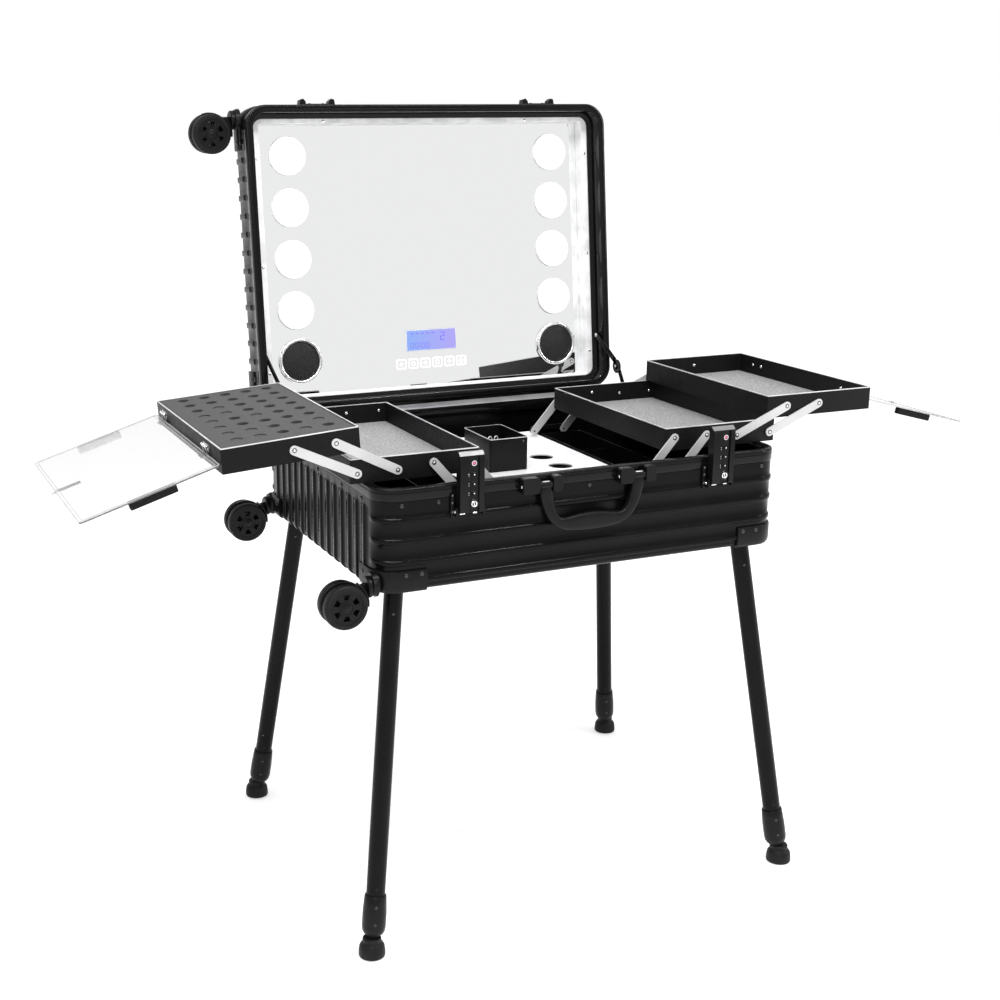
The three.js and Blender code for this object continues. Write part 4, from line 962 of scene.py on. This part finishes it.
# ---- Trays ---------------------------------------------------------------------------------------
def build_tray(name, side, level):
    """A tray with grained walls, a pale ring along its top edge as a painted highlight, and a
    grained grey floor.
    """
    place = tray_frame(side, level)
    body = f"tray_{name}_{level}"
    width, depth = TRAY_WIDTH, TRAY_REAR - TRAY_FRONT
    centre = (side * width / 2, TRAY_MIDDLE)

    def outline(inset, radius):
        return rounded(width - 2 * inset, depth - 2 * inset, radius, 3, centre)

    shape = Shape()
    shape.prism(outline(0, 2), "Z", 0, TRAY_HEIGHT - 1.2, 0, [outline(3.9, 1.5)])
    shape.prism(outline(3.8, 1.4), "Z", 0.4, 3)
    # The pale ring round the top is a painted highlight along the edge.
    shape.prism(outline(0.4, 2), "Z", TRAY_HEIGHT - 1.3, TRAY_HEIGHT, 1, [outline(2.1, 1.5)])
    shape.prism(outline(2.1, 2), "Z", TRAY_HEIGHT - 1.3, TRAY_HEIGHT - 0.5, 0, [outline(3.9, 1.5)])
    shape.prism(outline(4, 1.2), "Z", 2.9, 4.1, 2)
    pins = [UPPER_LINKS[0][1], UPPER_LINKS[1][1]]
    corner_x, corner_z = UPPER_INNER, UPPER_FLOOR
    if level == "lower":
        pins = [LOWER_LINKS[0][1], LOWER_LINKS[1][1], UPPER_LINKS[0][0], UPPER_LINKS[1][0]]
        corner_x, corner_z = LOWER_INNER, LOWER_FLOOR
    for i, (x, z) in enumerate(pins):
        x, z = x - corner_x, z - corner_z
        # The outer link's pin is an open pivot: its stub stops before the bar.
        proud = 2.6 if i != 1 else 0.3
        for y, s in ((TRAY_FRONT, -1), (TRAY_REAR, 1)):
            shape.rod((side * x, y - s * 1, z), (side * x, y + s * proud, z), 2, 3, 14)
            if level == "lower" or side > 0:
                shape.rivet((side * x, y - s * 3.9, z + 3), (0, -s, 0), 2.6, 1.5, 4, 16)
    if level == "upper":
        wall, out, z = side * (width - 0.5), side * (width + COVER_OUT), COVER_ABOVE
        for y in COVER_HINGES:
            shape.rod((out, y - 3.5, z), (out, y + 3.5, z), 2.2, 4, 16)
            shape.box((wall, out), (y - 3.5, y + 3.5), (z - 1.5, z + 1.5), 4)
            shape.box((wall, side * (width + 0.6)), (y - 12, y + 12), (z - 8, z + 3), 4)
        if side > 0:
            for y in (101, 79, -124):
                shape.rivet((side * (width - 3.9), y, 19.6), (-side, 0, 0), 2.6, 1.5, 4, 16)
    finishes = ["leather", "edge", "lining", "dark_metal", "chrome"]
    piece(
        f"lined_tray_{name}_{level}", shape, body, finishes, place, sharp=35,
        node=body,
    )


FOAM_ROWS, FOAM_COLUMNS, FOAM_HOLE = 8, 5, 8.2
# The holes that keep their plugs, as (row, column).
SHALLOW_HOLES = {
    (2, 1), (3, 0), (3, 1), (4, 0), (4, 2), (5, 0), (6, 0), (6, 1), (6, 4), (7, 0), (7, 1), (7, 3),
}


def build_foam():
    """The foam insert: a thick sheet with rows of round holes, some with their plugs left in."""
    inset = 4.3
    width, front, rear = TRAY_WIDTH, TRAY_FRONT + inset, TRAY_REAR - inset
    top = TRAY_HEIGHT - 0.6
    middle = (-width / 2, (front + rear) / 2)
    size = (width - 2 * inset, rear - front)
    holes, plugs = [], []
    for row, column in product(range(FOAM_ROWS), range(FOAM_COLUMNS)):
        spot = (-width + 33 + column * 31, TRAY_REAR - 24 - row * 38)
        holes.append(circle(spot, FOAM_HOLE, 24))
        if (row, column) in SHALLOW_HOLES:
            plugs.append(spot)
    shape = Shape()
    edge = rounded(*size, 2, 3, middle)
    shape.prism(edge, "Z", 10, top, 0, holes)
    shape.prism(edge, "Z", 4.4, 10.1)
    for x, y in plugs:
        shape.rod((x, y, 9), (x, y, top - 1.2), FOAM_HOLE - 0.7, 0, 24, 0.5)
    place = tray_frame(-1, "upper")
    made = piece("perforated_foam", shape, "tray_left_upper", ["foam"], place, sharp=40)
    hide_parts("foam_insert")


def build_cover(name, side):
    place = cover_frame(name, side)
    body = "cover_" + name
    low = -COVER_DROP - 2
    start, tip = 1.8, 1.8 + COVER_LENGTH
    middle = (side * (start + tip) / 2, TRAY_MIDDLE)
    depth = TRAY_REAR - TRAY_FRONT

    def outline(smaller, radius):
        return rounded(COVER_LENGTH - smaller, depth - smaller, radius, 6, middle)

    shape = Shape().prism(outline(0, 5), "Z", low, -COVER_DROP)
    # Two opaque grey lines are painted on the sheet, along its edge and a little way in, as painted
    # shade standing in for the clear sheet's edges.
    line = (-COVER_DROP + 0.05, -COVER_DROP + 0.5)
    shape.prism(outline(0, 5), "Z", *line, 1, [outline(2.4, 4)])
    shape.prism(outline(9, 3), "Z", *line, 1, [outline(10.4, 2.5)])
    piece(
        "clear_cover_" + name, shape, body, ["acrylic", "grey_plate_and_edge_shade"], place,
        node=body,
    )
    shape = Shape()
    for y in COVER_HINGES:
        for s in (-1, 1):
            shape.rod((0, y + s * 4, 0), (0, y + s * 12, 0), 2.2, 0, 16)
            near, far = sorted((y + s * 4, y + s * 12))
            shape.box((side * 0.5, side * 1.6), (near, far), (low - 0.9, 0), 1)
        leaf = rounded(9, 20, 2, 4, (side * 6.4, y))
        shape.prism(leaf, "Z", low - 0.9, low, 2)
        for dy in (-6, 6):
            shape.rivet((side * 7.5, y + dy, low - 0.9), DOWN, 1.9, 0.9, 1, 14)
    catch = rounded(30, 9, 2, 4, (side * (tip - 20), TRAY_MIDDLE))
    shape.prism(catch, "Z", low - 1.2, low, 2)
    hook = [(-6, 0), (7, 0), (7, 6), (5.4, 6), (5.4, 1.6), (-6, 1.6)]
    hook = [(side * (tip + u), low - 1.7 + v) for u, v in hook]
    shape.prism(hook, "Y", TRAY_MIDDLE - 5, TRAY_MIDDLE + 5)
    shape.rivet((side * (tip - 3), TRAY_MIDDLE, low - 1.7), DOWN, 2, 0.9, 1, 14)
    finishes = ["chrome", "dark_metal", "grey_plate_and_edge_shade"]
    piece("cover_hardware_" + name, shape, body, finishes, place, sharp=35)
    for end, y in (("front", TRAY_FRONT + 5.2), ("rear", TRAY_REAR - 5.2)):
        shape = Shape().box((side * 61, side * 124), (y - 5, y + 5), (low - 9.7, low - 0.1))
        finish = "pad" if end == "front" else "pale_pad"
        pad = piece(
            f"cover_pad_{name}_{end}", shape, body, [finish], place, bevel=1.6,
            segments=3,
        )


def link_piece(name, side, start, end, node):
    """One link bar on the front and its twin on the rear."""
    shape = Shape()
    ends = [(side * start[0], start[1]), (side * end[0], end[1])]
    for low, high, out in ((*LINK_FRONT, -1), (*LINK_BACK, 1)):
        shape.prism(capsule(*ends, 12.5), "Y", low, high)
        face = low if out < 0 else high
        for x, z in ends:
            shape.rivet((x, face, z), (0, out, 0), 3.4, 0.35, 1, 20)
            shape.rivet((x, face + out * 0.3, z), (0, out, 0), 1.7, 0.5, 2, 16)
    piece(name, shape, node, ["link", "dark_metal", "chrome"], bevel=0.35, node=node)


def build_links():
    tilt = radians(LEFT_TILT)
    x, z = LEFT_UPPER_PIVOT
    left_upper = [(x, z), (x + PIVOT_PITCH * cos(tilt), z - PIVOT_PITCH * sin(tilt))]
    for name, side in SIDES.items():
        for i, end in enumerate(("inner", "outer")):
            start, tip = LOWER_LINKS[i]
            link_piece(f"bar_{name}_lower_{end}", side, start, tip, f"link_{name}_lower_{end}")
            start, tip = UPPER_LINKS[i]
            tip = tip if side > 0 else left_upper[i]
            link_piece(f"bar_{name}_upper_{end}", side, start, tip, f"link_{name}_upper_{end}")


# ---- Locks and carry handle ----------------------------------------------------------------------
def build_lock(name, x):
    """A combination lock on its lever: two cheeks, dial windows, a button and a key ring."""
    front, back, low, high, half = -248, -235, 602, 684, 17.25
    middle = x + 3
    cheek = [(back, low), (back, high - 3), (back - 3, high), (front + 6, high)]
    cheek += [(front + 1.6, high - 4.6), (front, high - 8), (front, low + 4)]
    cheek += [(front + 1.2, low + 1.4), (front + 4, low)]
    sunk = [(max(y, front + 2.2), z) for y, z in cheek]
    shape = Shape()
    shape.prism(cheek, "X", x - half, x - 4)
    shape.prism(cheek, "X", x + 10, x + half)
    shape.prism(sunk, "X", x - 4.1, x + 10.1)
    # The cap's pale satin top is painted sheen, standing in for the light along the lever's top.
    cap = [(8, 0.2), (6, 0.2), (1.5, -4.5), (2.1, -4.7), (8, -1)]
    cap = [(front + y, high + z) for y, z in cap]
    shape.prism(cap, "X", x - half - 0.1, x + half + 0.1, 2)
    face = front + 2.2
    button, key = (middle, face, high - 15), (middle, face, low + 13)
    shape.rivet(button, FRONT, 2.4, 1.4, 3)
    ring = [(3.6, -0.4), (3.6, 0.7), (2.8, 0.7), (2.8, -0.4)]
    shape.lathe(ring, button, FRONT, 1, 24)
    wheel_pitch = 12.5
    for k in range(3):
        z = high - 30 - k * wheel_pitch
        shape.box((x - 1.5, x + 7.5), (face - 0.3, face + 0.2), (z - 4.4, z + 4.4), 0)
        shape.lathe([(0, 0), (4, 0), (4, 5), (0, 5)], (x + 0.6, face + 2.4, z), RIGHT, 0, 20)
        shape.rod((middle, face - 1.6, z), (middle, face - 1.9, z), 0.9, 1, 10, 0.1)
        for dz in (-1.4, 1.4):
            shape.rivet((x - 5.2, front, z + dz), FRONT, 0.55, 0.4, 1, 10)
    ring = [(4.4, -0.5), (4.4, 2), (3.9, 2.7), (3.3, 2.7), (2.7, 2), (2.7, -0.5)]
    shape.lathe(ring, key, FRONT, 1, 28)
    shape.rod((middle, face + 0.5, key[2]), (middle, face - 1.4, key[2]), 2.8, 0, 20)
    shape.box((x + 2.4, x + 3.6), (face - 1.8, face - 1.3), (low + 11, low + 15), 1)
    hood = [(6.8, -0.4), (6.8, 1.1), (6.2, 1.7), (5.6, 1.1), (5.6, -0.4)]
    shape.lathe(hood, key, FRONT, 4, 28)
    for near, far in ((x - half - 0.5, x - half + 7), (x + 1, x + 7)):
        shape.rod((near, front + 0.6, low + 1.2), (far, front + 0.6, low + 1.2), 0.95, 1, 12)
    finishes = ["plastic", "chrome", "pale_strip_and_sheen", "red", "black_metal"]
    body = "lock_lever_" + name
    piece("combination_lock_" + name, shape, body, finishes, bevel=0.35, node=body)
    mount = Shape()
    for s in (-1, 1):
        ear = x + s * (half + 2)
        mount.box((ear - 1.5, ear + 1.5), (front + 4, -233.5), (low - 4, low + 8))
        mount.rivet((ear + s * 1.5, -238, low + 2), (s, 0, 0), 2.2, 1, 1)
    mount.box((x - half - 8, x - half - 3.4), (-237, -233.4), (low - 6, low + 26), 0)
    for z in (low + 2, low + 14, low + 24):
        mount.rivet((x - half - 5.8, -237, z), FRONT, 1.6, 0.9, 2)
    finishes = ["plastic", "chrome", "dark_metal"]
    piece("lock_mount_" + name, mount, "case", finishes, bevel=0.4)


def build_handle():
    left, right, y, pivot = -73.5, 69.5, -240.2, 628
    centre = (left + right) / 2
    # Half of the bail's outer and inner edges, as (distance from its middle, height).
    outer = [
        (81, pivot), (79.5, 614), (75.5, 598), (69, 583), (60, 571.5), (48, 564), (34, 560.6),
        (16, 559.6), (0, 559.3),
    ]
    inner = [
        (62, pivot), (61, 614), (58.6, 602), (55, 590.5), (51, 583), (44, 579), (31, 581.5),
        (16, 583.4), (0, 584),
    ]
    outer += [(-u, z) for u, z in reversed(outer[:-1])]
    inner += [(-u, z) for u, z in reversed(inner[:-1])]
    section = rounded(1, 1, 0.34, 5)
    shape = Shape()
    points = []
    for (outer_u, outer_z), (inner_u, inner_z) in zip(outer, inner):
        first = Vector((centre - outer_u, y, outer_z))
        second = Vector((centre - inner_u, y, inner_z))
        thick = 10.6 if outer_z > 590 else 12.4
        for u, v in section:
            points.append(first.lerp(second, u + 0.5) + Vector((0, v * thick, 0)))
    count = len(section)
    ends = [tuple(range(count)), tuple(range(len(points) - count, len(points)))]
    shape.add(points, ends + skin(len(outer), count))
    for x in (left, right):
        shape.rod((x - 9.5, y, pivot), (x + 9.5, y, pivot), 5.4, 0, 24)
        # Pale strips over each pivot are a painted highlight on the lit tops of the arms.
        shape.box((x - 8.6, x + 8.6), (y - 4, y + 2), (pivot + 4, pivot + 5.5), 1)
    made = piece(
        "carry_handle_bail", shape, "carry_handle", ["plastic", "edge"],
        sharp=50,
    )
    made.modifiers.new("smooth", "SUBSURF").levels = 1
    made.modifiers["smooth"].render_levels = 1
    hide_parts("carry_handle")
    for name, x, reach in (("left", left, (25.5, 14.5)), ("right", right, (20.5, 15.5))):
        shape = Shape()
        arm = 9.8
        for start, end in ((x - arm - reach[0], x - arm), (x + arm, x + arm + reach[1])):
            middle = ((start + end) / 2, 629)
            shape.prism(rounded(end - start, 22, 4, 5, middle), "Y", -246, -234.3)
        shape.rod((x - arm - 6, y, pivot), (x + arm + 6, y, pivot), 2.4, 1, 16)
        shape.rivet((x - arm - reach[0], -240, pivot), LEFT, 2.2, 1.2, 1)
        piece(
            "bail_bracket_" + name, shape, "case", ["plastic", "chrome"],
            bevel=1.8, segments=3, node="handle_bracket_" + name,
        )


def build_trolley_handle():
    end, z = HALF_WIDTH - 1, 516
    shape = Shape()
    for s in (-1, 1):
        shape.box((-90, end + 8), (s * TROLLEY_ROD - 6, s * TROLLEY_ROD + 6), (z - 4.5, z + 4.5), 1)
    shape.prism(rounded(2 * (TROLLEY_ROD + 14), 20, 9, 8, (0, z)), "X", end + 3, end + 19)
    for i in range(-9, 10):
        shape.box((end + 18.5, end + 19.8), (i * 8 - 1.6, i * 8 + 1.6), (z - 6, z + 6), 0)
    piece(
        "pull_out_handle", shape, "trolley_handle", ["plastic", "dark_metal"],
        bevel=1.8, segments=3, node="trolley_handle",
    )


# ---- Legs ----------------------------------------------------------------------------------------
LEG_TOP, LEG_FOOT = (272.4, 195.1), (333.2, 261)
# Distances down the leg: where the ferrule starts, where the tube ends, where the inner leg starts.
FERRULE_START, TUBE_END, INNER_START = 424, 466, 300
LEG_OUTWARD, LEG_INWARD = (-0.3, -1, 0), (0.3, 1, 0)


def build_leg(name, sx, sy):
    top = Vector((sx * LEG_TOP[0], sy * LEG_TOP[1], BASE_BOTTOM))
    foot = Vector((sx * LEG_FOOT[0], sy * LEG_FOOT[1], 0))
    along = (foot - top).normalized()

    def at(distance):
        return top + along * distance

    def sideways(distance, direction, reach):
        out = Vector(direction) - Vector(direction).dot(along) * along
        out.normalize()
        return at(distance) + out * reach, out

    shape = Shape()
    tube = [(0, -31), (8, -31), (8, 0.6), (16, 0.8), (16, 3.6), (13, 4.4)]
    tube += [(13, TUBE_END), (11.4, TUBE_END), (11.4, 40), (0, 40)]
    shape.lathe(tube, at(0), along, 0, 36)
    spot, out = sideways(38, LEG_OUTWARD, 12.8)
    shape.rivet(spot, out, 2.2, 1.2, 2)
    spot, out = sideways(414, LEG_OUTWARD, 12.9)
    shape.lathe([(0, -1), (2.4, -1), (2.4, 0.25), (1.6, 0.3), (0, 0.15)], spot, out, 1, 18)
    finishes = ["tube", "rubber", "black_metal"]
    piece(
        "coated_tube_" + name, shape, "case", finishes, sharp=35,
        node="leg_tube_" + name,
    )

    shape = Shape()
    sleeve = [
        (13.2, 0), (14.3, 0), (15, 1), (15.8, 12), (16.5, 24), (16.5, 44), (15.6, 50), (13.4, 54),
        (10.7, 54), (10.7, 43), (13.2, 42.6),
    ]
    shape.lathe(sleeve, at(FERRULE_START), along, 0, 36)
    for distance in (438, 462):
        for direction in (LEG_OUTWARD, LEG_INWARD):
            spot, out = sideways(distance, direction, 15.6)
            shape.rivet(spot, out, 2.4, 1.6, 1)
    piece(
        "tapered_ferrule_" + name, shape, "case", ["plastic", "black_metal"],
        sharp=35, node="leg_ferrule_" + name,
    )

    shape = Shape()
    length = (foot - top).length
    shape.rod(at(INNER_START), at(length - 14), 10, 0, 32)
    cup = [
        (0, 0), (15.5, 0), (16.5, 0.6), (18, 1.2), (18.4, 3), (18.2, 8), (17.2, 15), (15.2, 18.4),
        (13, 20), (12.4, 21.4), (12.8, 23), (12.8, 26), (11.6, 27.4), (0, 27.4),
    ]
    shape.lathe(cup, foot, UP, 1, 40)
    for r in (9, 13):
        shape.lathe(square_ring(r, r + 1.2, 0.1, 0.9), foot, UP, 1, 32)
    piece(
        "rubber_foot_" + name, shape, "leg_inner_" + name, ["tube", "rubber"], sharp=35,
        node="leg_foot_" + name,
    )


# ---- Casters -------------------------------------------------------------------------------------
def build_caster(name, place):
    """A double caster in the frame of its swivel: X away from the wall is negative."""
    axle, radius, gap, wide = (-44, -20), 30, 4, 13

    def strip(outer, inner, arc):
        near = [polar(axle, outer, a) for a in arc]
        return near + [polar(axle, inner, a) for a in reversed(arc)]

    fork = Shape()
    fork.lathe([(0, 0), (14.5, 0), (14.5, 4.4), (13, 6), (0, 6)], (-6.4, 0, 0), LEFT, 0, 32)
    fork.prism(capsule((-14.4, -2), axle, 15), "Y", -3, 3)
    arc = [radians(a) for a in range(-8, 113, 8)]
    fork.prism(strip(34.5, 31.6, arc[: len(arc) // 2]), "Y", -9, 9)
    fork.prism(strip(31.8, 26, arc), "Y", -3, 3)
    body, finishes = "caster_fork_" + name, ["plastic"]
    housing = "caster_housing_" + name
    piece(housing, fork, body, finishes, place, bevel=0.7, node=body)

    shape = Shape()
    for s in (-1, 1):
        base = (axle[0], s * gap, axle[1])
        tread = [(23.4, 0.2), (28, 0.2), (29.6, 1.6), (radius, 4)]
        tread += [(radius, wide - 4), (29.6, wide - 1.6), (28, wide), (23.4, wide)]
        shape.lathe(tread, base, (0, s, 0), 0, 44)
        shape.lathe(square_ring(21.4, 23.5, 0.8, wide - 0.8), base, (0, s, 0), 1, 40)
        hub = [(0, 0), (7, 0), (7, wide - 0.6), (5.4, wide + 0.2), (0, wide + 0.2)]
        shape.lathe(hub, base, (0, s, 0), 1, 24)
        windows = []
        for k in range(6):
            turn = 60 * k + 30
            corners = ((11.4, -14), (18.6, -15), (18.6, 15), (11.4, 14))
            windows.append([polar(axle, r, radians(turn + w)) for r, w in corners])
        for near, far in ((wide - 2.4, wide - 1), (1.2, 2.4)):
            planes = sorted((s * (gap + near), s * (gap + far)))
            shape.prism(circle(axle, 22.4, 40), "Y", *planes, 1, windows)
        shape.lathe(square_ring(8, 9.6, wide - 1.2, wide - 0.2), base, (0, s, 0), 1, 32)
        shape.rivet((axle[0], s * (gap + wide + 0.2), axle[1]), (0, s, 0), 3, 0.8, 1)
    shape.rod((axle[0], -gap - 1, axle[1]), (axle[0], gap + 1, axle[1]), 3, 2, 16)
    body, finishes = "caster_wheels_" + name, ["rubber", "plastic", "dark_metal"]
    piece("double_wheels_" + name, shape, body, finishes, place, sharp=35, node=body)


# ---- Lid stays -----------------------------------------------------------------------------------
def build_stay(name, side):
    lean = radians(LID_LEAN)
    depth, height = 18, 94
    top = (
        HINGE_Y + depth * cos(lean) + height * sin(lean),
        BASE_TOP - depth * sin(lean) + height * cos(lean),
    )
    knee = (top[0] - 62, top[1] - 33)
    elbow, foot = (201, 689.5), (160, 628)
    upper, lower = (side * 293.4, side * 295.7), (side * 296.2, side * 298.1)
    out, width = (-side, 0, 0), 9
    shape = Shape()
    shape.prism(capsule(top, knee, width), "X", *upper)
    shape.prism(capsule(knee, elbow, width), "X", *upper)
    shape.prism(circle(elbow, 11.5, 32), "X", *upper)
    shape.rivet((upper[0], *elbow), out, 5.5, 1.8, 0)
    shape.rivet((upper[0] - side * 1.6, *elbow), out, 2.4, 0.8, 1)
    shape.rivet((upper[0], *top), out, 3.6, 1.6, 1)
    body, finishes = "stay_upper_" + name, ["rim", "chrome"]
    piece("stay_arm_upper_" + name, shape, body, finishes, bevel=0.35, node=body)
    shape = Shape().prism(capsule(foot, elbow, width), "X", *lower)
    shape.rivet((lower[0], *foot), out, 3.6, 1.6, 1)
    body = "stay_lower_" + name
    piece("stay_arm_lower_" + name, shape, body, finishes, bevel=0.35, node=body)


# ---- Build everything ----------------------------------------------------------------------------
build_shells()
build_rims()
build_mirror_frame()
build_lamps()
build_speakers()
build_display()
build_keys()
build_inlet()
build_center_tray()
build_brush_box()
build_side_boxes()
for side_name, side_sign in SIDES.items():
    for tray_level in ("lower", "upper"):
        build_tray(side_name, side_sign, tray_level)
    build_cover(side_name, side_sign)
    build_stay(side_name, side_sign)
build_foam()
build_links()
for lock_name, lock_middle in LOCKS.items():
    build_lock(lock_name, lock_middle)
build_handle()
build_trolley_handle()
for corner, signs in {
    "front_left": (-1, -1),
    "front_right": (1, -1),
    "rear_left": (-1, 1),
    "rear_right": (1, 1),
}.items():
    build_leg(corner, *signs)
WALL = -HALF_WIDTH + SHELL_INSET
for corner, caster_y in (("base_front", -CASTER_SIDE), ("base_rear", CASTER_SIDE)):
    build_caster(corner, CASE @ moved(WALL, caster_y, 510))
for corner, caster_z in (("lid_front", LID_CASTERS[1]), ("lid_rear", LID_CASTERS[0])):
    level = moved(WALL, LID_CASTER_DEPTH, caster_z) @ turned(LID_LEAN, "X")
    build_caster(corner, LID @ level)


# ---- Floor and light -----------------------------------------------------------------------------
LIT_SPOT = Vector((0, 0, 0.7))


def add_floor():
    mesh = bpy.data.meshes.new("floor")
    size = 30
    corners = [(-size, -size, 0), (size, -size, 0), (size, size, 0), (-size, size, 0)]
    mesh.from_pydata(corners, [], [(0, 1, 2, 3)])
    made = finish(
        "pale_floor", (0.9, 0.9, 0.9), 0.8, tint=(noise(0.8, 2), 0.01),
        Specular_IOR_Level=0.1, Emission_Color=(1, 1, 1, 1), Emission_Strength=0.38,
    )
    mesh.materials.append(made.material)
    floor = bpy.data.objects.new("floor", mesh)
    floor.location.z = -0.0005
    bpy.context.collection.objects.link(floor)


def add_lamp(name, place, size, power):
    light = bpy.data.lights.new(name, "AREA")
    light.energy = power
    light.shape = "RECTANGLE"
    light.size, light.size_y = size
    lamp = bpy.data.objects.new(name, light)
    lamp.location = place
    lamp.rotation_euler = (LIT_SPOT - Vector(place)).to_track_quat("-Z", "Y").to_euler()
    bpy.context.collection.objects.link(lamp)


def add_light():
    world = bpy.data.worlds.new("studio")
    world.use_nodes = True
    background = world.node_tree.nodes["Background"]
    background.inputs["Color"].default_value = (1, 1, 1, 1)
    # The camera sees plain white past the object; the light that falls on it is a little lower.
    nodes, links = world.node_tree.nodes, world.node_tree.links
    path = nodes.new("ShaderNodeLightPath")
    seen = nodes.new("ShaderNodeMath")
    seen.operation = "MAXIMUM"
    links.new(path.outputs["Is Camera Ray"], seen.inputs[0])
    links.new(path.outputs["Is Transmission Ray"], seen.inputs[1])
    level = nodes.new("ShaderNodeMapRange")
    level.inputs["To Min"].default_value = 0.86
    level.inputs["To Max"].default_value = 1.0
    links.new(seen.outputs["Value"], level.inputs["Value"])
    links.new(level.outputs["Result"], background.inputs["Strength"])
    bpy.context.scene.world = world
    add_lamp("key", (-1.3, -2.9, 2.4), (0.12, 1.8), 22)
    add_lamp("fill", (2.4, -1.6, 1.8), (0.12, 1.6), 20)
    add_lamp("top", (-0.2, -0.9, 2.6), (2.6, 0.07), 50)


add_floor()
add_light()
bpy.context.scene.view_settings.view_transform = "Standard"
